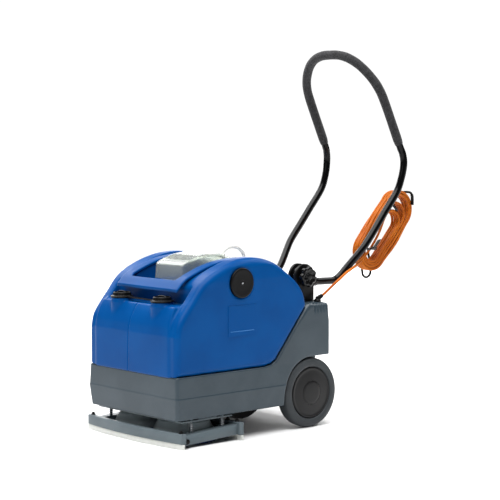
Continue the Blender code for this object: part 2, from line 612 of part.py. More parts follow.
def make_squeegees(mats):
    frame = None
    for word, side in (("left", -1), ("right", 1)):
        outline = back_from_nose([(0.0170, 0.008), (0.2050, 0.016), (0.2050, 0.044), (0.0170, 0.034)])
        low_x, high_x = sorted((side * ARM_IN, side * ARM_OUT))
        arm = prism(outline, "X", low_x, high_x)
        if frame is None:
            frame = object_from("squeegee_frame", arm, mats["deck_grey"])
        else:
            combine(frame, cutter("squeegee_arm_" + word, arm), "UNION")
    bars = (("front", 0.0172, 0.0205), ("rear", 0.1970, 0.2048))
    for word, low, high in bars:
        bar = block((-ARM_IN - 0.002, y(low), 0.020), (ARM_IN + 0.002, y(high), 0.033))
        combine(frame, cutter("squeegee_bar_" + word, bar), "UNION")
    for word, x in (("left", -0.178), ("right", 0.178)):
        for end, at in (("front", 0.058), ("rear", 0.168)):
            post = turned([(0.0, 0.030), (0.004, 0.030), (0.004, 0.0705), (0.0058, 0.0705),
                           (0.0058, 0.0755), (0.0, 0.0755)], "Z", (x, y(at), 0.0), 12)
            combine(frame, cutter("float_post_" + word + "_" + end, post), "UNION")
            make_spring("float_spring_" + end + "_" + word, x, at, mats)
    carrier = prism(bowed_plan(SQUEEGEE_HALF, 0.0, 0.0165), "Z", BLADE_Z + GAP, 0.0425)
    object_from("squeegee_carrier_front", carrier, mats["deck_grey"])
    blade = prism(bowed_plan(BLADE_HALF, 0.0030, 0.0040), "Z", 0.0, BLADE_Z)
    object_from("squeegee_blade_front", blade, mats["blade_rubber"])
    carrier = block((-SQUEEGEE_HALF, y(0.2053), BLADE_Z + GAP), (SQUEEGEE_HALF, y(0.2210), 0.050))
    object_from("squeegee_carrier_rear", carrier, mats["deck_grey"])
    blade = block((-BLADE_HALF, y(0.2110), 0.0), (BLADE_HALF, y(0.2150), BLADE_Z))
    object_from("squeegee_blade_rear", blade, mats["blade_rubber"])


def make_spring(name, x, at, mats):
    """A coil spring round a float post, between the arm and the deck plate."""
    arm_top = 0.034 + 0.010 * (at - 0.017) / 0.188
    low = arm_top + 0.0016
    high = PLATE_Z - 0.0012
    steps = 4 * 8
    points = []
    for k in range(steps + 1):
        turn = 2.0 * math.pi * k / 8
        height = low + (high - low) * k / steps
        points.append(Vector((x + 0.0058 * math.cos(turn), y(at) + 0.0058 * math.sin(turn), height)))
    object_from(name, swept(points, [0.0008], 4), mats["steel"])


# ---- motor housing and rear panel ---------------------------------------------------------------
def make_vacuum_housing(mats):
    outline = back_from_nose(arc((0.340, 0.124), 0.098, 155, 385, 20))
    object_from("vacuum_housing", prism(outline, "X", -0.070, 0.070), mats["trim_black"])


def make_switches(mats):
    back = y(TOWER_BACK)
    panel = object_from("switch_panel", block((-0.052, back + GAP, 0.268), (0.052, back + 0.0125, 0.332)),
                        mats["trim_black"])
    for word, x in (("brush", -0.022), ("suction", 0.022)):
        window = block((x - 0.0100, back - 0.01, 0.2875), (x + 0.0100, back + 0.03, 0.3125))
        combine(panel, cutter(word + "_window", window), "DIFFERENCE")
        centre = (x, back + 0.0125, 0.300)
        rear = arc((centre[1], centre[2]), 0.0108, 80, 280, 8)
        outline = rear + [(centre[1] + 0.0010, centre[2] - 0.0105), (centre[1] + 0.0005, centre[2]),
                          (centre[1] + 0.0038, centre[2] + 0.0105)]
        object_from(word + "_switch", prism(outline, "X", x - 0.0092, x + 0.0092), mats["trim_black"],
                    centre)


# ---- handle -------------------------------------------------------------------------------------
def make_brackets(mats):
    for word, side in (("left", -1), ("right", 1)):
        middle = side * TUBE_X
        head = arc((PIVOT_AT, PIVOT_Z), EAR_R, 0, 180, 12)
        outline = back_from_nose([(0.482, TOWER_Z + GAP), (0.546, TOWER_Z + GAP)] + head)
        half = 0.0080 + EAR_T
        bracket = object_from("hinge_bracket_" + word, prism(outline, "X", middle - half, middle + half),
                              mats["trim_black"])
        slot = block((middle - 0.0080, y(0.46), 0.390), (middle + 0.0080, y(0.56), 0.48))
        combine(bracket, cutter("fork_slot_" + word, slot), "DIFFERENCE")
        pivot = (middle, y(PIVOT_AT), PIVOT_Z)
        hole = turned([(0.0, -0.03), (0.0063, -0.03), (0.0063, 0.03), (0.0, 0.03)], "X", pivot, 20)
        combine(bracket, cutter("bracket_bore_" + word, hole), "DIFFERENCE")
        make_eye(word, middle, pivot, mats)
        out = side * (half + GAP)
        bolt = [(0.0, out + side * 0.012), (0.0060, out + side * 0.012), (0.0060, -out),
                (0.0125, -out), (0.0125, -out - side * 0.0022), (0.0105, -out - side * 0.0035),
                (0.0, -out - side * 0.0035)]
        object_from("hinge_bolt_" + word, turned(bolt, "X", pivot, 20), mats["steel"], pivot)
        knob = [(0.0064, out), (0.0140, out), (0.0145, out + side * 0.004),
                (0.0285, out + side * 0.006), (0.0310, out + side * 0.011),
                (0.0285, out + side * 0.019), (0.0200, out + side * 0.022), (0.0, out + side * 0.022),
                (0.0, out + side * 0.0125), (0.0064, out + side * 0.0125)]
        object_from("clamp_knob_" + word, turned(knob, "X", pivot, 24), mats["trim_black"], pivot)


def make_eye(word, middle, pivot, mats):
    """The hinge eye with the socket that holds one end of the handle tube."""
    disc = arc((PIVOT_AT, PIVOT_Z), 0.0300, -5, 305, 16)
    outline = back_from_nose(disc + [(0.549, SOCKET_Z - 0.011), (0.549, SOCKET_Z + 0.011)])
    eye = object_from("hinge_eye_" + word, prism(outline, "X", middle - 0.0077, middle + 0.0077),
                      mats["trim_black"], pivot)
    socket = [(0.0, y(0.5475)), (0.0137, y(0.5475)), (0.0142, y(0.552)), (0.0142, y(0.568)),
              (0.0122, y(0.568)), (0.0122, y(0.5515)), (0.0, y(0.5515))]
    combine(eye, cutter("socket_" + word, turned(socket, "Y", (middle, 0.0, SOCKET_Z), 16)), "UNION")
    hole = turned([(0.0, -0.03), (0.0063, -0.03), (0.0063, 0.03), (0.0, 0.03)], "X", pivot, 20)
    combine(eye, cutter("eye_bore_" + word, hole), "DIFFERENCE")


def handle_path():
    """The whole centre line, from the left hinge eye to the right one."""
    half = [(-a, y(b), c) for a, b, c in HANDLE]
    other = [(a, y(b), c) for a, b, c in reversed(HANDLE[:-1])]
    return smooth_path(half + other, 2)


def make_handle(mats):
    path = handle_path()
    pivot = (0.0, y(PIVOT_AT), PIVOT_Z)
    object_from("handle_tube", swept(path, [TUBE_R], 10), mats["tube_black"], pivot)
    held = [i for i, spot in enumerate(path) if spot.z > FOAM_FROM_Z]
    grip = swept(path, [FOAM_R, TUBE_R + GAP * 1.2], 10, held[0], held[-1] + 1)
    object_from("foam_grip", grip, mats["foam_grip"], pivot)
    make_hooks(mats, pivot)


def coil_point(along, across, x):
    """A point in the coil's plane, along and across its long axis."""
    u = (math.cos(COIL_ANGLE), math.sin(COIL_ANGLE))
    n = (-u[1], u[0])
    return Vector((x, y(COIL_CENTRE[0] + along * u[0] + across * n[0]),
                   COIL_CENTRE[1] + along * u[1] + across * n[1]))


def make_hooks(mats, pivot):
    """Two bent rods on the right leg: each passes through the coil and turns round it outside."""
    lower = [(0.1570, 0.7530, 0.5005), (0.1560, 0.7559, 0.4979), (0.1540, 0.7640, 0.4948),
             (0.1510, 0.7760, 0.4950), (0.1480, 0.7900, 0.4975), (0.1440, 0.8040, 0.4960),
             (0.1350, 0.8160, 0.4925), (0.1200, 0.8185, 0.4915), (0.1060, 0.8185, 0.4910),
             (0.0985, 0.8200, 0.4850), (0.0970, 0.8230, 0.4740), (0.0970, 0.8300, 0.4480),
             (0.0970, 0.8325, 0.4230), (0.0970, 0.8280, 0.4100), (0.0970, 0.8145, 0.4040),
             (0.0970, 0.8010, 0.4100), (0.0970, 0.7965, 0.4230), (0.0970, 0.7960, 0.4380)]
    upper = [(0.1506, 0.8600, 0.6395), (0.1465, 0.8605, 0.6390), (0.1440, 0.8680, 0.6330),
             (0.1435, 0.8800, 0.6220), (0.1425, 0.8930, 0.6110), (0.1380, 0.9015, 0.6045),
             (0.1280, 0.9045, 0.6020), (0.1150, 0.9050, 0.6015), (0.1040, 0.9055, 0.6025),
             (0.0980, 0.9100, 0.6070), (0.0970, 0.9180, 0.6150), (0.0970, 0.9400, 0.6370),
             (0.0980, 0.9530, 0.6495), (0.1040, 0.9600, 0.6560), (0.1150, 0.9625, 0.6580),
             (0.1300, 0.9627, 0.6580), (0.1375, 0.9632, 0.6565), (0.1408, 0.9648, 0.6520),
             (0.1415, 0.9665, 0.6450), (0.1415, 0.9674, 0.6350), (0.1415, 0.9674, 0.6190)]
    for word, route in (("upper", upper), ("lower", lower)):
        path = [Vector((x, y(b), c)) for x, b, c in route]
        object_from("cable_hook_" + word, swept(path, [0.0028], 8), mats["trim_black"], pivot)


# ---- mains cable --------------------------------------------------------------------------------
def make_cable(mats):
    base = [(0.0, TOWER_Z + GAP), (0.0100, TOWER_Z + GAP), (0.0100, 0.3600), (0.0085, 0.3625),
            (0.0, 0.3650)]
    gland = object_from("cable_gland", turned(base, "Z", (0.165, y(0.5430), 0.0), 16),
                        mats["trim_black"])
    sleeve = [(0.0, -0.001), (0.0075, -0.001), (0.0060, 0.0190), (0.0, 0.0190)]
    bm = turned(sleeve, "Z", (0.0, 0.0, 0.0), 16)
    bmesh.ops.rotate(bm, verts=bm.verts, cent=(0.0, 0.0, 0.0), matrix=Matrix.Rotation(-GLAND_LEAN, 3, "X"))
    bmesh.ops.translate(bm, verts=bm.verts, vec=(0.165, y(0.5440), 0.3637))
    combine(gland, cutter("gland_sleeve", bm), "UNION")
    path = smooth_path([(x, y(b), c) for x, b, c in LEAD], 2)
    curve = bpy.data.curves.new("cable_lead", "CURVE")
    curve.dimensions = "3D"
    spline = curve.splines.new("POLY")
    spline.points.add(len(path) - 1)
    for point, spot in zip(spline.points, path):
        point.co = (*spot, 1.0)
    curve.bevel_depth = CABLE_R
    curve.bevel_resolution = 2
    curve.use_fill_caps = True
    curve.materials.append(mats["cable_orange"])
    bpy.context.collection.objects.link(bpy.data.objects.new("cable_lead", curve))
    outer = coil_outline(COIL_OUT)
    hole = coil_outline(COIL_IN)
    coil = object_from("cable_coil", prism(outer, "X", *COIL_X), mats["cable_orange"])
    through = prism(hole, "X", COIL_X[0] - 0.02, COIL_X[1] + 0.02)
    combine(coil, cutter("coil_hole", through), "DIFFERENCE")
    make_plug(mats)


def coil_outline(radius):
    """The round-ended outline of the coil in the Y-Z plane."""
    points = []
    for side, start in ((1, -90), (-1, 90)):
        for k in range(9):
            turn = math.radians(start + 180.0 * k / 8)
            spot = coil_point(side * COIL_HALF_RUN + radius * math.cos(turn), radius * math.sin(turn), 0.0)
            points.append((spot.y, spot.z))
    return points


def make_plug(mats):
    """The mains plug, which lies against the inner side of the coil."""
    centre = coil_point(-0.012, -0.0560, COIL_X[0] - 0.0182)
    body = [(0.0, -0.030), (0.0060, -0.030), (0.0070, -0.012), (0.0175, -0.006), (0.0178, 0.020),
            (0.0165, 0.023), (0.0, 0.023)]
    bm = turned(body, "Z", (0.0, 0.0, 0.0), 16)
    turn_plug(bm, centre)
    plug = object_from("cable_plug", bm, mats["plug_black"], tuple(centre))
    for word, side in (("left", -1), ("right", 1)):
        pin = turned([(0.0, 0.015), (0.0024, 0.015), (0.0024, 0.040), (0.0, 0.042)], "Z",
                     (side * 0.0095, 0.0, 0.0), 8)
        turn_plug(pin, centre)
        combine(plug, cutter("plug_pin_" + word, pin), "UNION")


def turn_plug(bm, centre):
    """Lay a plug piece along the coil's long axis, pins down, so that the cable enters it from above."""
    for vert in bm.verts:
        x, across, along = vert.co
        spot = coil_point(-along, across, x)
        origin = coil_point(0.0, 0.0, 0.0)
        vert.co = centre + Vector((x, spot.y - origin.y, spot.z - origin.z))


def main():
    clear_scene()
    mats = make_materials()
    make_chassis(mats)
    make_wheels(mats)
    make_tank(mats)
    make_carry_frame(mats)
    make_cover(mats)
    make_caps(mats)
    make_dosing_knob(mats)
    make_brush_drive(mats)
    make_brushes(mats)
    make_squeegees(mats)
    make_vacuum_housing(mats)
    make_switches(mats)
    make_brackets(mats)
    make_handle(mats)
    make_cable(mats)


main()
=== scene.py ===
"""Looks of a walk-behind floor scrubber dryer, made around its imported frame.

Metres, +Z up. The squeegee end faces -Y, the handle end +Y, and the dosing dial is on the +X side.
"""

import math

import bmesh
import bpy
import numpy as np
from mathutils import Matrix, Vector


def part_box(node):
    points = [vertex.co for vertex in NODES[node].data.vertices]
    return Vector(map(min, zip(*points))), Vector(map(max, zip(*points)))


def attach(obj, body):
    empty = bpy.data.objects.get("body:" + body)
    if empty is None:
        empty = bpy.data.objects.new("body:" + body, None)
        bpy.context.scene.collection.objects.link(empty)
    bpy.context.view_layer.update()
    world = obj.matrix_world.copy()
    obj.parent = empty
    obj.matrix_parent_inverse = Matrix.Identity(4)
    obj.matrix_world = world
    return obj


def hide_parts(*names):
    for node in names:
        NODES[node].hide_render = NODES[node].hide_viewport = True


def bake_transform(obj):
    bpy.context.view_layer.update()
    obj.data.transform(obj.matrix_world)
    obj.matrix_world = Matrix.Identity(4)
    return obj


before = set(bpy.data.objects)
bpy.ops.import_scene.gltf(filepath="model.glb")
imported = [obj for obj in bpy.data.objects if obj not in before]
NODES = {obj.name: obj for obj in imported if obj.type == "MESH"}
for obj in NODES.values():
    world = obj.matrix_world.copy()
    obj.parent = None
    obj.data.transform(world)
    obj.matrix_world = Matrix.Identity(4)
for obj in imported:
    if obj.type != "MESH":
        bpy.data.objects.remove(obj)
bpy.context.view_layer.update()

# ---- sizes ----------------------------------------------------------------------------------------
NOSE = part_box("tank_shell")[0].y + 0.004     # lengths along the machine are measured back from here
WALL = 0.005
HALF_WIDTH = 0.199                           # chassis at its crease
TANK_HALF = 0.196
FRONT = -0.004
CREASE_Z = 0.133
DECK_Z = 0.1915
CHASSIS_BOTTOM = 0.074
TOWER_Z = 0.356
TOWER_BACK = 0.562
CORE_HALF = 0.140
AXLE_AT = 0.492
WHEEL_R = 0.100
ARCH_R = 0.104
CAP_X = 0.089
CAP_AT = 0.032
LEDGE_Z = 0.378
NECK_Z = 0.385
KNOB_AT = 0.225
KNOB_Z = 0.432
BRUSH_X = 0.0865
BRUSH_AT = 0.108
TUBE_R = 0.011
FOAM_R = 0.0137
FOAM_FROM_Z = 0.803
CABLE_R = 0.00375

# Side outlines as (distance behind the nose, height)
HUMP = [(FRONT, 0.300), (0.008, 0.340), (0.051, 0.394), (0.101, 0.447), (0.195, 0.487),
        (0.282, 0.498), (0.356, 0.480), (0.431, 0.428), (0.463, 0.390), (0.4745, 0.3525)]
SEAM = [(0.4695, 0.3440), (0.357, 0.206), (0.338, 0.1955), (0.310, DECK_Z)]
FRAME_TOP = [(0.048, 0.420), (0.072, 0.443), (0.098, 0.457), (0.157, 0.478), (0.220, 0.4905),
             (0.280, 0.4935), (0.330, 0.488)]

# Half of the handle's centre line as (half spacing, distance behind the nose, height)
HANDLE = [(0.1305, 0.552, 0.4105), (0.1305, 0.612, 0.4085), (0.1310, 0.643, 0.4090),
          (0.1330, 0.662, 0.418), (0.1375, 0.680, 0.4355), (0.1440, 0.698, 0.4555),
          (0.1530, 0.720, 0.4805), (0.1600, 0.744, 0.5085), (0.1610, 0.785, 0.555),
          (0.1610, 0.825, 0.602), (0.1620, 0.875, 0.660), (0.1635, 0.8955, 0.706),
          (0.1650, 0.903, 0.745), (0.1630, 0.900, 0.775), (0.1600, 0.887, 0.805),
          (0.1580, 0.827, 0.928), (0.1520, 0.804, 0.973), (0.1345, 0.786, 1.008),
          (0.1055, 0.770, 1.040), (0.0730, 0.760, 1.060), (0.0380, 0.755, 1.070), (0.0, 0.754, 1.072)]

# The cable's free stretch as (X, distance behind the nose, height), gland first
LEAD = [(0.165, 0.5616, 0.3719), (0.1648, 0.5740, 0.3783), (0.1640, 0.5920, 0.3890),
        (0.1632, 0.6120, 0.4010), (0.1620, 0.6370, 0.4150), (0.1605, 0.6600, 0.4280),
        (0.1595, 0.6800, 0.4375), (0.1572, 0.7000, 0.4450), (0.1528, 0.7190, 0.4520),
        (0.1470, 0.7390, 0.4600), (0.1427, 0.7570, 0.4705), (0.1408, 0.7750, 0.4845),
        (0.1402, 0.7900, 0.4985)]
# The two rods that hold the coil, in the same way
LOWER_HOOK = [(0.1570, 0.7530, 0.5005), (0.1560, 0.7559, 0.4979), (0.1540, 0.7640, 0.4948),
              (0.1510, 0.7760, 0.4950), (0.1480, 0.7900, 0.4975), (0.1440, 0.8040, 0.4960),
              (0.1350, 0.8160, 0.4925), (0.1200, 0.8185, 0.4915), (0.1060, 0.8185, 0.4910),
              (0.0985, 0.8200, 0.4850), (0.0970, 0.8230, 0.4740), (0.0970, 0.8300, 0.4480),
              (0.0970, 0.8325, 0.4230), (0.0970, 0.8280, 0.4100), (0.0970, 0.8145, 0.4040),
              (0.0970, 0.8010, 0.4100), (0.0970, 0.7965, 0.4230), (0.0970, 0.7960, 0.4380)]
UPPER_HOOK = [(0.1506, 0.8600, 0.6395), (0.1465, 0.8605, 0.6390), (0.1440, 0.8680, 0.6330),
              (0.1435, 0.8800, 0.6220), (0.1425, 0.8930, 0.6110), (0.1380, 0.9015, 0.6045),
              (0.1280, 0.9045, 0.6020), (0.1150, 0.9050, 0.6015), (0.1040, 0.9055, 0.6025),
              (0.0980, 0.9100, 0.6070), (0.0970, 0.9180, 0.6150), (0.0970, 0.9400, 0.6370),
              (0.0980, 0.9530, 0.6495), (0.1040, 0.9600, 0.6560), (0.1150, 0.9625, 0.6580),
              (0.1300, 0.9627, 0.6580), (0.1375, 0.9632, 0.6565), (0.1408, 0.9648, 0.6520),
              (0.1415, 0.9665, 0.6450), (0.1415, 0.9674, 0.6350), (0.1415, 0.9674, 0.6190)]
COIL_CENTRE = (0.859, 0.546)
COIL_ANGLE = math.radians(46.5)
COIL_HALF_RUN = 0.083
GLAND_LEAN = math.radians(65)
HINGE = (0.1305, 0.510, 0.429)               # X, distance behind the nose, height
BRACKET_SIDE = 0.0173                        # from the hinge's middle to the clamp's seat


def y(distance):
    """Y of a point that lies this far behind the nose."""
    return NOSE + distance


# ---- camera, floor and light ----------------------------------------------------------------------
def make_camera():
    data = bpy.data.cameras.new("camera")
    data.lens = 118.2
    camera = bpy.data.objects.new("camera", data)
    bpy.context.scene.collection.objects.link(camera)
    turn = math.radians(48.25)
    dip = math.radians(4.42)
    ahead = Vector((-math.sin(turn) * math.cos(dip), math.cos(turn) * math.cos(dip), -math.sin(dip)))
    right = Vector((math.cos(turn), math.sin(turn), 0.0))
    up = right.cross(ahead)
    place = Matrix((right, up, -ahead)).transposed().to_4x4()
    place.translation = (3.5454, y(-2.7339), 0.868)
    camera.matrix_world = place
    bpy.context.scene.camera = camera


def make_light(name, spot, target, size, power):
    data = bpy.data.lights.new(name, "AREA")
    data.shape = "RECTANGLE"
    data.size, data.size_y = size
    data.energy = power
    lamp = bpy.data.objects.new(name, data)
    lamp.location = spot
    lamp.rotation_euler = (Vector(target) - Vector(spot)).to_track_quat("-Z", "Y").to_euler()
    bpy.context.scene.collection.objects.link(lamp)


def make_studio():
    """A pale floor, five softboxes, a soft ceiling light and a room that is white to look at."""
    half = 12.0
    mesh = bpy.data.meshes.new("floor")
    mesh.from_pydata([(-half, -half, 0), (half, -half, 0), (half, half, 0), (-half, half, 0)], [],
                     [(0, 1, 2, 3)])
    floor = bpy.data.objects.new("floor", mesh)
    bpy.context.scene.collection.objects.link(floor)
    mesh.materials.append(painted_floor())
    middle = (0.0, 0.0, 0.4)
    make_light("softbox_over", (0.0, -0.2, 3.2), middle, (2.6, 2.4), 30.0)
    make_light("softbox_left", (-2.7, -0.1, 2.5), middle, (2.0, 3.0), 80.0)
    make_light("softbox_back", (0.2, 2.7, 3.0), middle, (3.0, 1.6), 50.0)
    make_light("softbox_low", (-3.7, 3.3, 1.0), middle, (4.4, 1.8), 80.0)
    make_light("softbox_front", (1.2, -3.4, 1.9), middle, (1.6, 1.4), 8.0)
    sky = bpy.data.lights.new("ceiling", "SUN")
    sky.angle = math.radians(60.0)
    sky.energy = 4.2
    ceiling = bpy.data.objects.new("ceiling", sky)
    ceiling.rotation_euler = (math.radians(14.0), math.radians(8.0), 0.0)
    bpy.context.scene.collection.objects.link(ceiling)
    world = bpy.data.worlds.new("white_room")
    world.use_nodes = True
    tree = world.node_tree
    seen = tree.nodes.new("ShaderNodeLightPath")
    level = tree.nodes.new("ShaderNodeMapRange")
    level.inputs["To Min"].default_value = 0.10
    level.inputs["To Max"].default_value = 1.05
    tree.links.new(seen.outputs["Is Camera Ray"], level.inputs["Value"])
    tree.links.new(level.outputs["Result"], tree.nodes["Background"].inputs["Strength"])
    tree.nodes["Background"].inputs["Color"].default_value = (1.0, 1.0, 1.0, 1.0)
    bpy.context.scene.world = world
    bpy.context.scene.view_settings.view_transform = "Standard"


# ---- materials ------------------------------------------------------------------------------------
def linear(code):
    """A linear colour from an sRGB hex value."""
    parts = [int(code[i:i + 2], 16) / 255.0 for i in (1, 3, 5)]
    return [c / 12.92 if c <= 0.04045 else ((c + 0.055) / 1.055) ** 2.4 for c in parts] + [1.0]


def per_mm(size):
    """A pattern scale that gives features of this size in millimetres on coordinates in metres."""
    return 1000.0 / size


def add(material, kind, settings, links=None):
    """Add a node with its settings and with links into its sockets."""
    made = material.node_tree.nodes.new(kind)
    for key, value in settings.items():
        if isinstance(key, int) or key in made.inputs:
            made.inputs[key].default_value = value
        else:
            setattr(made, key, value)
    for key, source in (links or {}).items():
        material.node_tree.links.new(source, made.inputs[key])
    return made


def new_material(name):
    """A material, its shader and its coordinates, which are the piece's own in metres."""
    made = bpy.data.materials.new(name)
    made.use_nodes = True
    place = add(made, "ShaderNodeTexCoord", {}).outputs["Object"]
    return made, made.node_tree.nodes["Principled BSDF"], place


def finish_surface(made, shader, height, strength, depth_mm):
    """Lead a height pattern into the shader through a bump of the given depth."""
    bump = add(made, "ShaderNodeBump", {"Strength": strength, "Distance": depth_mm / 1000.0},
               {"Height": height})
    made.node_tree.links.new(bump.outputs["Normal"], shader.inputs["Normal"])


def colour_between(made, shader, pattern, dark, light, start=0.0, end=1.0):
    """Colour the surface from one tone to another as a pattern goes from start to end."""
    tone = add(made, "ShaderNodeValToRGB", {}, {"Fac": pattern})
    for stop, position, code in zip(tone.color_ramp.elements, (start, end), (dark, light)):
        stop.position = position
        stop.color = linear(code)
    made.node_tree.links.new(tone.outputs["Color"], shader.inputs["Base Color"])


def rough_between(made, shader, pattern, low, high):
    """Let the roughness follow a pattern between two values."""
    rough = add(made, "ShaderNodeMapRange", {"To Min": low, "To Max": high}, {"Value": pattern})
    made.node_tree.links.new(rough.outputs["Result"], shader.inputs["Roughness"])


def moulded(name, dark, light, roughness, grain_mm, depth_mm, drift=0.06, gloss=0.25):
    """A moulded polymer: colour that drifts a little over a hand's width, and a fine skin grain.

    drift is how far the roughness strays, and gloss is the specular level.
    """
    made, shader, place = new_material(name)
    cloud = add(made, "ShaderNodeTexNoise", {"Scale": per_mm(90.0), "Detail": 3.0}, {"Vector": place})
    grain = add(made, "ShaderNodeTexNoise", {"Scale": per_mm(grain_mm), "Detail": 4.0, "Roughness": 0.6},
                {"Vector": place})
    colour_between(made, shader, cloud.outputs["Fac"], dark, light, 0.35, 0.65)
    rough_between(made, shader, grain.outputs["Fac"], roughness - drift, roughness + drift)
    shader.inputs["Specular IOR Level"].default_value = gloss
    finish_surface(made, shader, grain.outputs["Fac"], 0.5, depth_mm)
    return made


def painted_floor():
    """Matt floor paint: near white, with a faint unevenness of the roller."""
    made, shader, place = new_material("matt_floor_paint")
    cloud = add(made, "ShaderNodeTexNoise", {"Scale": 2.0, "Detail": 2.0}, {"Vector": place})
    tone = add(made, "ShaderNodeMapRange", {"To Min": 0.83, "To Max": 0.86}, {"Value": cloud.outputs["Fac"]})
    made.node_tree.links.new(tone.outputs["Result"], shader.inputs["Base Color"])
    shader.inputs["Roughness"].default_value = 0.7
    return made


def rotomoulded_blue():
    """Rotomoulded polyethylene, coloured in the mass: a soft, slightly waxy gloss with orange-peel."""
    made = moulded("rotomoulded_polyethylene_blue", "#004484", "#004A8C", 0.32, 4.0, 0.05, 0.06, 0.08)
    made.node_tree.nodes["Principled BSDF"].inputs["IOR"].default_value = 1.51
    return made


def moulded_grey():
    """Rotomoulded polyethylene in slate grey: the same skin, with a harder gloss."""
    made = moulded("rotomoulded_polyethylene_grey", "#333F47", "#3A464E", 0.24, 3.5, 0.03, 0.04, 0.30)
    made.node_tree.nodes["Principled BSDF"].inputs["IOR"].default_value = 1.51
    return made


def injection_grey():
    """Glass-filled nylon, injection moulded: an even mid grey with a fine spark-eroded texture."""
    return moulded("glass_filled_nylon_grey", "#566167", "#606B70", 0.36, 1.0, 0.03)


def brush_body_painted_bounce_grey():
    """Polypropylene brush bodies in the deck's grey, painted paler to stand in for the light bounced up from
    the floor: painted light.
    """
    return moulded("moulded_polypropylene_grey_with_painted_bounce_light", "#8D989D", "#98A3A7", 0.34, 1.4, 0.03)


def injection_black():
    """Black ABS, injection moulded: satin, with a fine spark-eroded texture."""
    return moulded("moulded_abs_black", "#070708", "#0C0C0D", 0.38, 0.9, 0.03, 0.06, 0.16)


def glossy_black():
    """Black acetal of the knobs and hinges: moulded in a polished tool, so it mirrors the lamps."""
    return moulded("polished_acetal_black", "#070708", "#0D0D0E", 0.20, 3.0, 0.02, 0.04)


def hub_nylon():
    """Black nylon of the wheel discs: satin, slightly dusty."""
    return moulded("moulded_nylon_black", "#141415", "#1A1A1B", 0.42, 1.2, 0.03)


def tyre_rubber():
    """Solid moulded rubber: matt dark grey, with the fine pitting of the mould."""
    return moulded("moulded_tyre_rubber", "#33373A", "#3B3F42", 0.55, 1.5, 0.06, 0.08)


def powder_coat():
    """Gloss black powder coat on tube: hard reflections, broken a little by its orange-peel."""
    return moulded("powder_coat_gloss_black", "#040405", "#070708", 0.16, 2.5, 0.02, 0.03, 0.2)


def grip_foam():
    """Closed-cell neoprene foam: matt, with open pores on its cut skin and a dusty sheen."""
    made, shader, place = new_material("closed_cell_foam_charcoal")
    cells = add(made, "ShaderNodeTexVoronoi", {"Scale": per_mm(1.6)}, {"Vector": place})
    cloud = add(made, "ShaderNodeTexNoise", {"Scale": per_mm(9.0), "Detail": 5.0}, {"Vector": place})
    colour_between(made, shader, cloud.outputs["Fac"], "#262627", "#3A3A3C", 0.3, 0.7)
    shader.inputs["Roughness"].default_value = 0.9
    shader.inputs["Specular IOR Level"].default_value = 0.2
    shader.inputs["Sheen Weight"].default_value = 0.12
    shader.inputs["Sheen Roughness"].default_value = 0.5
    mixed = add(made, "ShaderNodeMath", {"operation": "ADD"},
                {0: cells.outputs["Distance"], 1: cloud.outputs["Fac"]})
    finish_surface(made, shader, mixed.outputs["Value"], 0.8, 0.35)
    return made


def cable_sheath():
    """Extruded PVC cable sheath in signal orange: satin, scuffed paler here and there."""
    return moulded("extruded_pvc_orange", "#A8500A", "#C86E1E", 0.42, 2.2, 0.04, 0.06, 0.12)


def plug_rubber():
    """Moulded-on plug of black thermoplastic rubber: matt."""
    return moulded("moulded_plug_rubber_black", "#1A1A1B", "#222223", 0.55, 1.1, 0.04)


def clear_polycarbonate():
    """Moulded clear polycarbonate, fogged by use: lets the blue below through, greyish from above."""
    made, shader, place = new_material("moulded_polycarbonate_clear")
    mist = add(made, "ShaderNodeTexNoise", {"Scale": per_mm(35.0), "Detail": 4.0}, {"Vector": place})
    rough_between(made, shader, mist.outputs["Fac"], 0.12, 0.30)
    shader.inputs["Base Color"].default_value = linear("#E9EEE6")
    shader.inputs["Transmission Weight"].default_value = 0.86
    shader.inputs["IOR"].default_value = 1.45
    finish_surface(made, shader, mist.outputs["Fac"], 0.4, 0.2)
    return made


def clear_vinyl():
    """Extruded soft vinyl hose: milky and see-through, with faint draw lines."""
    made, shader, place = new_material("extruded_vinyl_clear")
    mist = add(made, "ShaderNodeTexNoise", {"Scale": per_mm(6.0), "Detail": 3.0}, {"Vector": place})
    shader.inputs["Base Color"].default_value = linear("#F8F8F4")
    shader.inputs["Transmission Weight"].default_value = 0.35
    shader.inputs["Roughness"].default_value = 0.28
    shader.inputs["IOR"].default_value = 1.4
    finish_surface(made, shader, mist.outputs["Fac"], 0.3, 0.1)
    return made


def blade_urethane():
    """Cast polyurethane blade: milky white, a little see-through at its edges."""
    made, shader, place = new_material("cast_polyurethane_white")
    wear = add(made, "ShaderNodeTexNoise", {"Scale": per_mm(12.0), "Detail": 5.0}, {"Vector": place})
    colour_between(made, shader, wear.outputs["Fac"], "#E4E6E0", "#FAFBF6")
    shader.inputs["Transmission Weight"].default_value = 0.25
    shader.inputs["Roughness"].default_value = 0.38
    finish_surface(made, shader, wear.outputs["Fac"], 0.3, 0.1)
    return made


def tuft_nylon():
    """Crimped nylon bristle in deep blue: each filament a shade of its own."""
    made, shader, place = new_material("crimped_nylon_blue")
    stretched = add(made, "ShaderNodeMapping", {"Scale": (per_mm(1.2), per_mm(1.2), per_mm(14.0))},
                    {"Vector": place})
    strand = add(made, "ShaderNodeTexNoise", {"Scale": 1.0, "Detail": 2.0}, {"Vector": stretched.outputs[0]})
    colour_between(made, shader, strand.outputs["Fac"], "#061A44", "#1B4E9C")
    shader.inputs["Roughness"].default_value = 0.5
    finish_surface(made, shader, strand.outputs["Fac"], 0.8, 0.3)
    return made


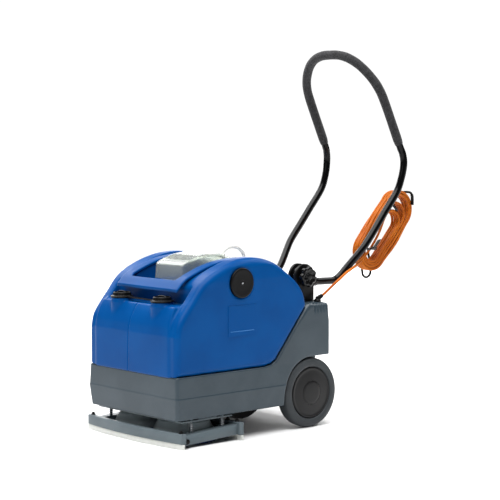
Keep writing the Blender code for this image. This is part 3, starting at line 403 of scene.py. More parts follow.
def zinc_steel():
    """Zinc-plated steel: satin metal with faint turning marks."""
    made, shader, place = new_material("zinc_plated_steel")
    marks = add(made, "ShaderNodeTexNoise", {"Scale": per_mm(0.8), "Detail": 3.0}, {"Vector": place})
    shader.inputs["Base Color"].default_value = linear("#B9BBBE")
    shader.inputs["Metallic"].default_value = 1.0
    rough_between(made, shader, marks.outputs["Fac"], 0.26, 0.42)
    finish_surface(made, shader, marks.outputs["Fac"], 0.3, 0.02)
    return made


def gear_nylon():
    """Cast natural nylon: ivory, waxy."""
    return moulded("cast_nylon_ivory", "#D9D4C4", "#E6E2D5", 0.48, 2.0, 0.03)


def label_film():
    """Printed polyester label film, left blank: the tank's own shade, with one pale rule."""
    made, shader, place = new_material("printed_label_film_blue")
    split = add(made, "ShaderNodeSeparateXYZ", {}, {"Vector": place})
    low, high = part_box("label_plate")
    rule_z = low.z + 0.014
    above = add(made, "ShaderNodeMath", {"operation": "COMPARE", 1: rule_z, 2: 0.0006},
                {0: split.outputs["Z"]})
    inside = add(made, "ShaderNodeMath", {"operation": "COMPARE", 1: (low.y + high.y) / 2, 2: 0.043},
                 {0: split.outputs["Y"]})
    rule = add(made, "ShaderNodeMath", {"operation": "MULTIPLY"},
               {0: above.outputs[0], 1: inside.outputs[0]})
    tone = add(made, "ShaderNodeMix", {"data_type": "RGBA"})
    tone.inputs[6].default_value = linear("#004788")
    tone.inputs[7].default_value = linear("#4F8ACB")
    made.node_tree.links.new(rule.outputs[0], tone.inputs[0])
    made.node_tree.links.new(tone.outputs[2], shader.inputs["Base Color"])
    grain = add(made, "ShaderNodeTexNoise", {"Scale": per_mm(3.0)}, {"Vector": place})
    shader.inputs["Roughness"].default_value = 0.36
    shader.inputs["Specular IOR Level"].default_value = 0.08
    finish_surface(made, shader, grain.outputs["Fac"], 0.3, 0.02)
    return made


# ---- mesh helpers ---------------------------------------------------------------------------------
def piece(name, points, faces, material, body, sharp=40.0):
    """Make a smooth-shaded piece that rides on a body."""
    mesh = bpy.data.meshes.new(name)
    mesh.from_pydata([tuple(p) for p in points], [], [tuple(f) for f in faces])
    mesh.validate()
    mesh.materials.append(material)
    mesh.shade_smooth()
    mesh.set_sharp_from_angle(angle=math.radians(sharp))
    made = bpy.data.objects.new(name, mesh)
    bpy.context.scene.collection.objects.link(made)
    if body:
        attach(made, body)
    return made


def axis_point(axis, along, a, b):
    """A point this far along the X or Z axis, with its other two coordinates."""
    return Vector((along, a, b)) if axis == "X" else Vector((a, b, along))


def turned(profile, axis, centre, sides=48, wave=None):
    """Points and faces of a profile of (radius, along) turned about an axis; ends on the axis close it.

    wave, where given, adds to the radius as a function of (turn, along).
    """
    points = []
    faces = []
    rings = []
    for radius, along in profile:
        if radius < 1e-6:
            rings.append([len(points)])
            points.append(Vector(centre) + axis_point(axis, along, 0.0, 0.0))
            continue
        ring = []
        for k in range(sides):
            turn = 2.0 * math.pi * k / sides
            reach = radius + (wave(turn, along) if wave else 0.0)
            ring.append(len(points))
            points.append(Vector(centre) + axis_point(axis, along, reach * math.cos(turn),
                                                      reach * math.sin(turn)))
        rings.append(ring)
    for one, two in zip(rings, rings[1:]):
        for k in range(sides):
            m = (k + 1) % sides
            if len(one) == 1 and len(two) == 1:
                break
            if len(one) == 1:
                faces.append((one[0], two[k], two[m]))
            elif len(two) == 1:
                faces.append((one[k], two[0], one[m]))
            else:
                faces.append((one[k], two[k], two[m], one[m]))
    return points, faces


def face_out(made):
    """Turn every face outwards."""
    bm = bmesh.new()
    bm.from_mesh(made.data)
    bmesh.ops.recalc_face_normals(bm, faces=bm.faces)
    bm.to_mesh(made.data)
    bm.free()
    return made


def turned_piece(name, profile, axis, centre, material, body, sides=48, wave=None):
    points, faces = turned(profile, axis, centre, sides, wave)
    return face_out(piece(name, points, faces, material, body))


def smooth_path(points, per_span):
    """A Catmull-Rom curve through the points."""
    spots = [Vector(p) for p in points]
    spots = [2 * spots[0] - spots[1]] + spots + [2 * spots[-1] - spots[-2]]
    path = []
    for i in range(1, len(spots) - 2):
        a, b, c, d = spots[i - 1:i + 3]
        for k in range(per_span):
            t = k / per_span
            path.append(0.5 * ((2 * b) + (c - a) * t + (2 * a - 5 * b + 4 * c - d) * t ** 2
                               + (3 * b - a - 3 * c + d) * t ** 3))
    path.append(spots[-2])
    return path


def swept(path, radius, sides):
    """Points and faces of a round section along a path; radius may be a function of the share 0 to 1."""
    tangent = (path[1] - path[0]).normalized()
    normal = Vector((0.0, 0.0, 1.0)) if abs(tangent.z) < 0.9 else Vector((1.0, 0.0, 0.0))
    points = []
    faces = []
    last = len(path) - 1
    for i, spot in enumerate(path):
        tangent = (path[min(i + 1, last)] - path[max(i - 1, 0)]).normalized()
        normal = (normal - tangent * normal.dot(tangent)).normalized()
        other = tangent.cross(normal)
        reach = radius(i / last) if callable(radius) else radius
        for k in range(sides):
            turn = 2.0 * math.pi * k / sides
            points.append(spot + reach * (normal * math.cos(turn) + other * math.sin(turn)))
    for i in range(last):
        for k in range(sides):
            m = (k + 1) % sides
            faces.append((i * sides + k, i * sides + m, (i + 1) * sides + m, (i + 1) * sides + k))
    faces.append(tuple(reversed(range(sides))))
    faces.append(tuple(range(last * sides, last * sides + sides)))
    return points, faces


def joined(parts):
    """One list of points and faces out of several."""
    points = []
    faces = []
    for more_points, more_faces in parts:
        start = len(points)
        points += list(more_points)
        faces += [tuple(i + start for i in face) for face in more_faces]
    return points, faces


def arc(centre, radius, start, end, steps):
    """Points on an arc between two angles in degrees."""
    turns = [math.radians(start + (end - start) * k / steps) for k in range(steps + 1)]
    return [(centre[0] + radius * math.cos(t), centre[1] + radius * math.sin(t)) for t in turns]


# ---- soft solid helpers: a body as a field of distances, skinned at zero ----------------------------
def spaced(low, high, step, fine=()):
    """Grid stations between two ends, closer together in the fine ranges (from, to, step)."""
    stations = [low]
    while stations[-1] < high:
        here = stations[-1]
        near = [s for a, b, s in fine if a <= here < b]
        stations.append(here + min(near + [step]))
    return np.array(stations)


def outline_distance(a, b, outline):
    """Signed distance from grid points to a closed outline, negative inside."""
    nearest = np.full(np.broadcast(a, b).shape, 1e6)
    inside = np.zeros(nearest.shape, bool)
    for (a0, b0), (a1, b1) in zip(outline, outline[1:] + outline[:1]):
        run, rise = a1 - a0, b1 - b0
        share = np.clip(((a - a0) * run + (b - b0) * rise) / max(run * run + rise * rise, 1e-12), 0.0, 1.0)
        nearest = np.minimum(nearest, (a - a0 - share * run) ** 2 + (b - b0 - share * rise) ** 2)
        if b0 != b1:
            inside ^= ((b0 > b) != (b1 > b)) & (a < run * (b - b0) / rise + a0)
    return np.where(inside, -1.0, 1.0) * np.sqrt(nearest)


def meet(one, two, radius):
    """The common part of two fields, its edge rounded."""
    outer = np.hypot(np.maximum(one + radius, 0.0), np.maximum(two + radius, 0.0))
    return np.minimum(np.maximum(one, two), -radius) + outer


def fuse(one, two, radius):
    """Both fields together, with a fillet where they meet."""
    return -meet(-one, -two, radius)


def carve(one, two, radius):
    """The first field without the second, its edge rounded."""
    return meet(one, -two, radius)


def slab(value, low, high):
    return np.maximum(low - value, value - high)


def skin(field, xs, ys, zs):
    """Points and faces of the zero surface of a field on a grid, one point in each crossed cell."""
    inside = field < 0.0
    corners = [(i, j, k) for i in (0, 1) for j in (0, 1) for k in (0, 1)]
    nx, ny, nz = (n - 1 for n in field.shape)
    count = sum(inside[i:nx + i, j:ny + j, k:nz + k].astype(np.int8) for i, j, k in corners)
    cells = np.argwhere((count > 0) & (count < 8))
    number = np.full((nx, ny, nz), -1, np.int64)
    number[tuple(cells.T)] = np.arange(len(cells))
    total = np.zeros((len(cells), 3))
    crossings = np.zeros(len(cells))
    axes = (xs, ys, zs)
    for one in corners:
        for axis in range(3):
            if one[axis]:
                continue
            two = tuple(c + (n == axis) for n, c in enumerate(one))
            at_one = cells + one
            at_two = cells + two
            f_one = field[tuple(at_one.T)]
            f_two = field[tuple(at_two.T)]
            crossed = (f_one < 0.0) != (f_two < 0.0)
            share = np.where(crossed, f_one / np.where(crossed, f_one - f_two, 1.0), 0.0)
            for n in range(3):
                start = axes[n][at_one[:, n]]
                total[:, n] += crossed * (start + share * (axes[n][at_two[:, n]] - start))
            crossings += crossed
    points = total / crossings[:, None]
    faces = []
    for axis in range(3):
        a, b = [n for n in range(3) if n != axis]
        ahead = [slice(None)] * 3
        ahead[axis] = slice(1, None)
        behind = [slice(None)] * 3
        behind[axis] = slice(None, -1)
        change = inside[tuple(behind)] != inside[tuple(ahead)]
        edges = np.argwhere(change)
        limit = field.shape
        edges = edges[(edges[:, a] > 0) & (edges[:, b] > 0) & (edges[:, a] < limit[a] - 1)
                      & (edges[:, b] < limit[b] - 1)]
        ring = []
        for da, db in ((0, 0), (-1, 0), (-1, -1), (0, -1)):
            cell = edges.copy()
            cell[:, a] += da
            cell[:, b] += db
            ring.append(number[tuple(cell.T)])
        quads = np.stack(ring, 1)
        outward = inside[tuple(edges.T)]
        if axis == 1:
            outward = ~outward
        quads = np.where(outward[:, None], quads, quads[:, ::-1])
        faces.append(quads)
    return points, np.concatenate(faces)


def soft_piece(name, field, xs, ys, zs, material, body, passes=2):
    """A piece skinned from a field, eased by a few smoothing passes."""
    points, faces = skin(field, xs, ys, zs)
    made = piece(name, points, faces.tolist(), material, body, 180.0)
    ease = made.modifiers.new("ease", "SMOOTH")
    ease.factor = 0.5
    ease.iterations = passes
    return made


def soften(node, width, material, angle=35.0):
    """Give a frame node its material and a small radius on its hard edges."""
    made = NODES[node]
    weld = made.modifiers.new("weld", "WELD")
    weld.merge_threshold = 0.00002
    bevel = made.modifiers.new("edge", "BEVEL")
    bevel.width = width
    bevel.segments = 3
    bevel.limit_method = "ANGLE"
    bevel.angle_limit = math.radians(angle)
    finish(node, material)
    made.data.shade_smooth()


def finish(node, material):
    """Give a frame node its material."""
    mesh = NODES[node].data
    mesh.materials.clear()
    mesh.materials.append(material)


# ---- mains cable ----------------------------------------------------------------------------------
def coil_point(along, across, x):
    """A point in the coil's plane, along and across its long axis."""
    u = (math.cos(COIL_ANGLE), math.sin(COIL_ANGLE))
    return Vector((x, y(COIL_CENTRE[0] + along * u[0] - across * u[1]),
                   COIL_CENTRE[1] + along * u[1] + across * u[0]))


def coil_turns():
    """The coil's centre line: sixteen turns that step from place to place in a four by four bundle."""
    order = [(0, 3), (1, 3), (2, 3), (3, 3), (3, 2), (2, 2), (1, 2), (0, 2),
             (0, 1), (0, 0), (1, 0), (1, 1), (2, 1), (3, 1), (3, 0), (2, 0)]
    pitch = 0.0080
    inner = 0.0305
    inboard = 0.1085
    half = COIL_HALF_RUN
    shorter = 2.8                            # an inner turn's run is cut by this share of its depth
    arc_steps = 22
    run_steps = 14
    path = []
    for turn, (row, layer) in enumerate(order):
        after = order[min(turn + 1, len(order) - 1)]
        for quarter in range(4):
            steps = arc_steps if quarter % 2 == 0 else run_steps
            for k in range(steps):
                share = k / steps
                step_over = share * share * (3.0 - 2.0 * share) if quarter == 3 else 0.0
                radius = inner + pitch * (row + (after[0] - row) * step_over)
                x = inboard + pitch * (layer + (after[1] - layer) * step_over)
                far_end = half - shorter * max(0.0, inner + 2.0 * pitch - radius)
                belly = max(0.0, radius - inner - pitch) * math.sin(math.pi * share) ** 2
                phase = 2.0 * math.pi * (quarter + share) / 4.0
                radius += 0.0008 * math.sin(2.0 * phase + 2.4 * turn)
                x += 0.0010 * math.sin(phase + 1.7 * turn)
                if quarter == 0:
                    swing = math.pi / 2 - math.pi * share
                    spot = coil_point(far_end + radius * math.cos(swing), radius * math.sin(swing), x)
                elif quarter == 1:
                    spot = coil_point(far_end - (far_end + half) * share, -radius - 0.42 * belly, x)
                elif quarter == 2:
                    swing = -math.pi / 2 - math.pi * share
                    spot = coil_point(-half + radius * math.cos(swing), radius * math.sin(swing), x)
                else:
                    spot = coil_point(-half + (far_end + half) * share, radius + 0.30 * belly, x)
                path.append(spot)
    row, layer = order[-1]
    radius = inner + pitch * row
    for k in range(arc_steps + 1):
        swing = math.pi / 2 - math.pi * k / arc_steps
        path.append(coil_point(half + radius * math.cos(swing), radius * math.sin(swing),
                               inboard - 0.0015 * k / arc_steps))
    return path


def cable_path():
    """From the gland along the lead, up inside the coil, round its turns and down to the plug."""
    turns = coil_turns()
    lead = [Vector((x, y(b), c)) for x, b, c in LEAD]
    climb = [coil_point(-0.055, 0.0185, 0.1400), coil_point(-0.032, 0.0212, 0.1398),
             coil_point(-0.009, 0.0248, 0.1380), coil_point(0.014, 0.0287, 0.1350)]
    head = smooth_path(lead + climb + turns[:1], 5)[:-1]
    top = coil_point(0.058, -0.0480, 0.1050)
    drop = [top, coil_point(0.042, -0.0515, 0.0975), coil_point(0.030, -0.0545, 0.0895),
            coil_point(0.0195, -0.0560, 0.0862), coil_point(0.012, -0.0560, 0.0858)]
    tail = smooth_path([turns[-1]] + drop, 4)[1:]
    return head + turns + tail


def make_cable():
    path = cable_path()
    points, faces = swept(path, CABLE_R, 12)
    cable = face_out(piece("mains_cable", points, faces, cable_sheath(), None))
    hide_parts("cable_lead", "cable_coil")
    plug = make_plug()
    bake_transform(cable)
    make_gland()


def make_plug():
    """The plug: a round body with grip flutes, a ribbed sleeve above it and two pins below."""
    middle = coil_point(-0.012, -0.0560, 0.104 - 0.0182)
    axis = (coil_point(-1.0, 0.0, 0.0) - coil_point(0.0, 0.0, 0.0)).normalized()
    turn = Vector((0.0, 0.0, 1.0)).rotation_difference(axis).to_matrix()
    sleeve = [(0.0, -0.030), (0.0052, -0.030)]
    for ring in range(4):
        start = -0.0295 + 0.0042 * ring
        sleeve += [(0.0058 + 0.0003 * ring, start), (0.0058 + 0.0003 * ring, start + 0.0026),
                   (0.0049 + 0.0003 * ring, start + 0.0030), (0.0049 + 0.0003 * ring, start + 0.0040)]
    body = sleeve + [(0.0080, -0.0122), (0.0140, -0.0095), (0.0172, -0.0060), (0.0178, 0.0),
                     (0.0178, 0.0190), (0.0170, 0.0220), (0.0155, 0.0230), (0.0, 0.0230)]

    def flutes(angle, along):
        return -0.0010 * (0.5 + 0.5 * math.cos(10.0 * angle)) if -0.008 < along < 0.018 else 0.0

    parts = [turned(body, "Z", (0.0, 0.0, 0.0), 60, flutes)]
    pins = [turned([(0.0, 0.020), (0.0024, 0.020), (0.0024, 0.0400), (0.0018, 0.0412), (0.0, 0.0416)],
                   "Z", (side * 0.0095, 0.0, 0.0), 20) for side in (-1, 1)]
    points, faces = joined(parts)
    placed = [middle + turn @ Vector(p) for p in points]
    plug = face_out(piece("mains_plug", placed, faces, plug_rubber(), "handle"))
    points, faces = joined(pins)
    placed = [middle + turn @ Vector(p) for p in points]
    face_out(piece("mains_plug_pins", placed, faces, MATERIAL["steel"], "handle"))
    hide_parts("cable_plug")
    return plug


def make_gland():
    """The cable gland: a hexagon nut on the tower and a ribbed, tapered sleeve round the cable."""
    base = [(0.0, TOWER_Z - 0.0010), (0.0100, TOWER_Z - 0.0010), (0.0104, TOWER_Z + 0.0006),
            (0.0104, 0.3598), (0.0094, 0.3606), (0.0085, 0.3625), (0.0060, 0.3645), (0.0, 0.3650)]

    def six_flats(angle, along):
        corner = (angle + math.pi / 6) % (math.pi / 3) - math.pi / 6
        return 0.0098 / math.cos(corner) - 0.0104 if along < 0.3600 else 0.0

    sleeve = [(0.0, -0.001), (0.0078, -0.001)]
    for ring in range(5):
        start = 0.0008 + 0.0036 * ring
        sleeve += [(0.0078 - 0.0004 * ring, start), (0.0078 - 0.0004 * ring, start + 0.0022),
                   (0.0066 - 0.0004 * ring, start + 0.0026), (0.0066 - 0.0004 * ring, start + 0.0034)]
    sleeve += [(0.0056, 0.0190), (0.0, 0.0190)]
    points, faces = turned(sleeve, "Z", (0.0, 0.0, 0.0), 36)
    lean = Matrix.Rotation(-GLAND_LEAN, 3, "X")
    leaned = [Vector((0.165, y(0.5440), 0.3637)) + lean @ p for p in points]
    nut = turned(base, "Z", (0.165, y(0.5430), 0.0), 60, six_flats)
    points, faces = joined([nut, (leaned, faces)])
    gland = face_out(piece("ribbed_cable_gland", points, faces, MATERIAL["black"], "chassis"))
    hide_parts("cable_gland")


def make_hooks():
    """Two bent rods on the right handle leg: each passes through the coil and turns round it outside."""
    for word, route in (("upper", UPPER_HOOK), ("lower", LOWER_HOOK)):
        path = smooth_path([(x, y(b), c) for x, b, c in route], 4)
        tip = 0.86 if word == "upper" else 2.0
        points, faces = swept(path, lambda share: 0.0048 if share > tip else 0.0036, 16)
        hook = face_out(piece("rod_hook_" + word, points, faces, MATERIAL["coat"], "handle"))
        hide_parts("cable_hook_" + word)


# ---- tank -----------------------------------------------------------------------------------------
def hump_outline():
    crest = [(p.x, p.y) for p in smooth_path([(a, b, 0.0) for a, b in HUMP], 6)]
    seam = [(a - 0.0002, b + 0.0005) for a, b in SEAM]
    return [(FRONT, DECK_Z + 0.0003)] + crest + seam


def frame_line(offset):
    return [(p.x, p.y + offset) for p in smooth_path([(a, b, 0.0) for a, b in FRAME_TOP], 4)]


def make_tank():
    """The tank as one rotomoulded skin: humped sides, a sunk top, a ledge with two spouts in front."""
    xs = spaced(-0.201, 0.201, 0.003, [(-0.033, 0.026, 0.0012)])
    ds = spaced(-0.010, 0.480, 0.003, [(-0.010, 0.022, 0.0015)])
    zs = spaced(0.186, 0.503, 0.003, [(0.372, 0.390, 0.0015)])
    x = np.abs(xs)[:, None, None]
    signed_x = xs[:, None, None]
    d = ds[None, :, None]
    z = zs[None, None, :]
    half = np.interp(zs, [0.15, 0.440, 0.478, 0.492, 0.500],
                     [TANK_HALF, TANK_HALF, TANK_HALF - 0.003, TANK_HALF - 0.008, TANK_HALF - 0.016])
    side = x - half[None, None, :]
    body = meet(outline_distance(d, z, hump_outline()), side, 0.016)
    slope = [(FRONT + 0.0004, 0.300), (-0.0022, 0.322), (0.0018, 0.341), (0.0092, 0.360), (0.020, LEDGE_Z)]
    slope = [(p.x, p.y) for p in smooth_path([(a, b, 0.0) for a, b in slope], 4)]
    brow = outline_distance(d, z, [(FRONT + 0.0004, DECK_Z + 0.0003)] + slope
                            + [(0.10, LEDGE_Z), (0.10, DECK_Z + 0.0003)])
    body = fuse(body, meet(brow, x - 0.160, 0.003), 0.010)
    spout = np.hypot(x - CAP_X, d - CAP_AT) - 0.0312
    body = fuse(body, meet(spout, slab(z, 0.30, NECK_Z), 0.003), 0.0035)
    trough_line = [p for p in frame_line(-0.0095) if p[0] > 0.071]
    trough = outline_distance(d, z, [(0.066, 0.56)] + trough_line + [(0.40, 0.470), (0.44, 0.56)])
    body = carve(body, np.maximum(trough, x - 0.1375), 0.0035)
    bay = np.maximum(np.maximum(x - 0.159, d - 0.078), LEDGE_Z + 0.0001 - z)
    body = carve(body, bay, 0.005)
    neck = meet(np.hypot(x - CAP_X, d - CAP_AT) - 0.0302, slab(z, LEDGE_Z - 0.01, NECK_Z), 0.001)
    body = fuse(body, neck, 0.002)
    well = np.maximum(np.maximum(x - 0.104, slab(d, 0.074, 0.395)), 0.425 - z)
    body = carve(body, well, 0.0035)
    seat = np.maximum(np.hypot(d - KNOB_AT, z - KNOB_Z) - 0.0437, TANK_HALF - 0.0035 - signed_x)
    body = carve(body, seat, 0.0012)
    seam_x = -0.0145 + 0.012 * np.exp(-(LEDGE_Z - np.minimum(z, LEDGE_Z)) / 0.050)
    groove = np.maximum(np.hypot(signed_x - seam_x, body * 0.8) - 0.0021, d - 0.070)
    body = carve(body, groove, 0.0008)
    ys = ds + NOSE
    tank = soft_piece("tank_skin", body, xs, ys, zs, MATERIAL["blue"], "chassis")
    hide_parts("tank_shell")


def make_carry_frame():
    """The carrying frame: a flat, curved U with soft edges, hinged on two studs at its rear."""
    xs = spaced(-0.145, 0.145, 0.0022)
    ds = spaced(0.044, 0.340, 0.0022)
    zs = spaced(0.406, 0.499, 0.0014)
    x = np.abs(xs)[:, None, None]
    d = ds[None, :, None]
    z = zs[None, None, :]
    tip = arc((0.330, 0.4835), 0.0046, 80, -80, 6)
    outline = frame_line(0.0)[:-1] + tip + list(reversed(frame_line(-0.0088)[:-1]))
    plate = meet(outline_distance(d, z, outline), x - 0.134, 0.003)
    corner = 0.012
    gap = np.hypot(np.maximum(x - 0.100 + corner, 0.0), np.maximum(0.0725 + corner - d, 0.0)) - corner
    gap = np.maximum(gap, d - 0.36)
    plate = carve(plate, np.broadcast_to(gap, plate.shape), 0.0022)
    stud = meet(np.hypot(d - 0.330, z - 0.4835) - 0.0038, slab(x, 0.120, 0.1425), 0.0008)
    plate = fuse(plate, np.broadcast_to(stud, plate.shape), 0.001)
    made = soft_piece("carry_handle", plate, xs, ds + NOSE, zs, MATERIAL["blue"], "carry_frame")
    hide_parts("carry_frame")


def make_cover():
    """The clear cover: a soft-edged box over the recovery inlet, open below, with a lower tail."""
    xs = spaced(-0.063, 0.063, 0.0018)
    ds = spaced(0.116, 0.384, 0.0018)
    zs = spaced(0.432, 0.508, 0.0018)
    x = np.abs(xs)[:, None, None]
    d = ds[None, :, None]
    z = zs[None, None, :]
    main = [(0.121, 0.420), (0.128, 0.476), (0.136, 0.482), (0.152, 0.4895), (0.188, 0.4995),
            (0.223, 0.504), (0.262, 0.5035), (0.286, 0.5015), (0.290, 0.420)]
    tail = [(0.280, 0.420), (0.280, 0.4925), (0.310, 0.491), (0.345, 0.487), (0.372, 0.483),
            (0.380, 0.420)]
    front = outline_distance(d, z, main)
    rear = outline_distance(d, z, tail)
    outer = fuse(meet(front, x - 0.060, 0.006), meet(rear, x - 0.046, 0.006), 0.004)
    outer = np.maximum(outer, 0.4345 - z)
    room = np.minimum(meet(front + 0.0026, x - 0.0574, 0.005), meet(rear + 0.0026, x - 0.0434, 0.005))
    shell = np.maximum(outer, -room)
    made = soft_piece("inlet_cover", shell, xs, ds + NOSE, zs, clear_polycarbonate(), "cover",
                      1)
    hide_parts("clear_cover")
    route = [(0.3235, 0.4915), (0.3290, 0.5015), (0.3420, 0.5105), (0.3630, 0.5140), (0.3850, 0.5090),
             (0.4010, 0.4960), (0.4090, 0.4790), (0.4115, 0.4530)]
    path = smooth_path([(0.0, y(a), b) for a, b in route], 6)
    points, faces = swept(path, 0.0046, 20)
    hose = face_out(piece("vent_pipe", points, faces, clear_vinyl(), "cover"))
    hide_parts("vent_hose")


def make_caps():
    """Two screw caps with a fluted crown and a turning bar, tied by a strap."""
    for word, x in (("left", -CAP_X), ("right", CAP_X)):
        profile = [(0.0, -0.006), (0.0235, -0.006), (0.0235, 0.0003), (0.0308, 0.0003), (0.0318, 0.0008),
                   (0.0321, 0.0020), (0.0318, 0.0038), (0.0308, 0.0046), (0.0275, 0.0050),
                   (0.0262, 0.0058), (0.0258, 0.0075), (0.0254, 0.0110), (0.0246, 0.0135),
                   (0.0228, 0.0150), (0.0215, 0.0148), (0.0205, 0.0118), (0.0, 0.0112)]

        def flutes(angle, along):
            return -0.0009 * (0.5 + 0.5 * math.cos(24.0 * angle)) if 0.006 < along < 0.013 else 0.0

        parts = [turned(profile, "Z", (x, y(CAP_AT), NECK_Z), 144, flutes)]
        bar = smooth_path([(x - 0.0195, y(CAP_AT), NECK_Z + 0.0115), (x - 0.0120, y(CAP_AT), NECK_Z + 0.0150),
                           (x, y(CAP_AT), NECK_Z + 0.0162), (x + 0.0120, y(CAP_AT), NECK_Z + 0.0150),
                           (x + 0.0195, y(CAP_AT), NECK_Z + 0.0115)], 6)
        parts.append(swept(bar, 0.0026, 14))
        points, faces = joined(parts)
        cap = face_out(piece("screw_cap_" + word, points, faces, MATERIAL["black"], "cap_" + word))
        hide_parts("tank_cap_" + word)
    finish("cap_strap", MATERIAL["black"])


def make_dial():
    """The dosing dial: a shallow black disc with a fine knurl and a bright screw at its centre."""
    seat = TANK_HALF - 0.0035 + 0.0003
    profile = [(0.0, seat), (0.0408, seat), (0.0414, seat + 0.0006), (0.0415, seat + 0.0052),
               (0.0410, seat + 0.0070), (0.0398, seat + 0.0081), (0.0380, seat + 0.0085),
               (0.0330, seat + 0.0079), (0.0200, seat + 0.0076), (0.0075, seat + 0.0076),
               (0.0062, seat + 0.0088), (0.0046, seat + 0.0088), (0.0040, seat + 0.0070),
               (0.0, seat + 0.0070)]

    def knurl(angle, along):
        return -0.0005 * (0.5 + 0.5 * math.cos(60.0 * angle)) if along < seat + 0.006 else 0.0

    dial = turned_piece("dosing_dial_disc", profile, "X", (0.0, y(KNOB_AT), KNOB_Z), MATERIAL["black"],
                        "dosing_dial", 240, knurl)
    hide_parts("dosing_knob")
    screw = [(0.0, seat + 0.0071), (0.0030, seat + 0.0071), (0.0030, seat + 0.0080),
             (0.0022, seat + 0.0085), (0.0, seat + 0.0086)]
    turned_piece("dial_screw", screw, "X", (0.0, y(KNOB_AT), KNOB_Z), MATERIAL["steel"], "dosing_dial",
                 24)
    finish("label_plate", label_film())


# ---- chassis --------------------------------------------------------------------------------------
def chassis_side(bottom):
    arch = arc((AXLE_AT, 0.1005), ARCH_R, 180, 90, 24)
    front = [(FRONT - 0.003, bottom), (AXLE_AT - ARCH_R, bottom)]
    shoulder = arc((TOWER_BACK - 0.012, TOWER_Z - 0.012), 0.012, 0, 90, 8)
    tower = [(TOWER_BACK, 0.2045)] + shoulder + [(0.484, TOWER_Z)]
    return front + arch + tower + SEAM + [(FRONT - 0.003, DECK_Z)]


def core_side(bottom):
    return [(0.350, bottom), (TOWER_BACK, bottom), (TOWER_BACK, TOWER_Z), (0.484, TOWER_Z)] + SEAM[:3]


def make_chassis():
    """The chassis: a deep tray with a crease round its flanks, open below, and a tower behind."""
    xs = spaced(-0.203, 0.203, 0.003, [(-0.203, -0.176, 0.0018), (0.176, 0.203, 0.0018)])
    ds = spaced(-0.012, 0.566, 0.003, [(-0.012, 0.020, 0.0018), (0.494, 0.566, 0.0018)])
    zs = spaced(0.070, 0.360, 0.003, [(0.122, 0.142, 0.0015), (0.182, 0.196, 0.0015), (0.318, 0.360, 0.002)])
    x = np.abs(xs)[:, None, None]
    d = ds[None, :, None]
    z = zs[None, None, :]
    half = np.interp(zs, [0.05, CREASE_Z, CREASE_Z + 0.0012, DECK_Z, 0.40],
                     [HALF_WIDTH - 0.0075, HALF_WIDTH, HALF_WIDTH - 0.0008, TANK_HALF, TANK_HALF])
    nose = np.interp(zs, [0.05, CREASE_Z, CREASE_Z + 0.0012, DECK_Z, 0.40],
                     [FRONT + 0.0055, FRONT - 0.003, FRONT - 0.0022, FRONT, FRONT])
    side = x - half[None, None, :]
    front = nose[None, None, :] - d
    chamfer = (side + front) * math.sqrt(0.5) + 0.0045
    plan = meet(meet(side, front, 0.0025), chamfer, 0.0015)
    profile = outline_distance(d, z, chassis_side(CHASSIS_BOTTOM))
    edge = np.interp(zs, [0.30, 0.34], [0.0028, 0.0110])[None, None, :]
    flank = meet(plan, profile, edge)
    core = meet(outline_distance(d, z, core_side(0.100)), x - CORE_HALF, 0.003)
    outer = fuse(flank, core, 0.002)
    room = np.maximum(outline_distance(d, z, chassis_side(0.030)) + WALL,
                      np.maximum(side, front) + WALL + 0.004)
    room = np.maximum(room, z - TOWER_Z + 0.018)
    core_room = np.maximum(outline_distance(d, z, core_side(0.030)) + WALL, x - CORE_HALF + WALL)
    shell = carve(carve(outer, room, 0.001), core_room, 0.001)
    skin_depth = np.abs(flank)
    for rib in range(5):
        fade = 0.20 * np.maximum(0.345 - z, 0.0)
        flute = np.hypot(d - 0.505 - 0.0115 * rib, skin_depth * 0.9) + fade - 0.0042
        shell = carve(shell, np.maximum(flute, 0.168 - x), 0.0012)
    bore = np.hypot(d - AXLE_AT, z - WHEEL_R) - 0.0106
    shell = carve(shell, np.broadcast_to(np.maximum(bore, x - 0.16), shell.shape), 0.0005)
    made = soft_piece("chassis_skin", shell, xs, ds + NOSE, zs, MATERIAL["grey"], "chassis",
                      1)
    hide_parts("chassis_shell")


def make_wheels():
    """Solid rubber tyres on moulded discs, each disc closed by a shallow dome."""
    centre = (0.0, y(AXLE_AT), WHEEL_R)
    tread = [(0.0733, 0.1525), (0.0850, 0.1522), (0.0930, 0.1535), (0.0965, 0.1560), (0.0988, 0.1595),
             (0.0997, 0.1640), (0.1000, 0.1700), (0.1000, 0.1790), (0.0997, 0.1850), (0.0988, 0.1895),
             (0.0965, 0.1930), (0.0930, 0.1951), (0.0880, 0.1964), (0.0830, 0.1968), (0.0790, 0.1963),
             (0.0765, 0.1950), (0.0748, 0.1930), (0.0738, 0.1905), (0.0733, 0.1880), (0.0733, 0.1525)]
    disc = [(0.0106, 0.1425), (0.0200, 0.1425), (0.0200, 0.1560), (0.0727, 0.1560), (0.0729, 0.1895),
            (0.0727, 0.1915), (0.0720, 0.1930), (0.0708, 0.1940), (0.0692, 0.1943), (0.0672, 0.1938),
            (0.0650, 0.1931), (0.0620, 0.1932), (0.0540, 0.1940), (0.0450, 0.1948), (0.0345, 0.1954),
            (0.0343, 0.1872), (0.0106, 0.1872), (0.0106, 0.1425)]
    dome = [(0.0, 0.1936), (0.0106, 0.1936), (0.0106, 0.1876), (0.0335, 0.1876), (0.0338, 0.1951),
            (0.0330, 0.1956), (0.0250, 0.1961), (0.0140, 0.1964), (0.0, 0.1966)]
    for side, word in ((-1, "left"), (1, "right")):
        for name, node, profile, finish_name, slot in (
                ("tyre_band_", "tyre_", tread, "tyre", "tyre_rubber"),
                ("wheel_disc_", "rim_", disc, "hub", "hub_black"),
                ("wheel_dome_", "hubcap_", dome, "hub", "hub_black")):
            placed = [(radius, side * along) for radius, along in profile]
            made = turned_piece(name + word, placed, "X", centre, MATERIAL[finish_name], "wheel_" + word,
                                120)
            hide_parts(node + word)


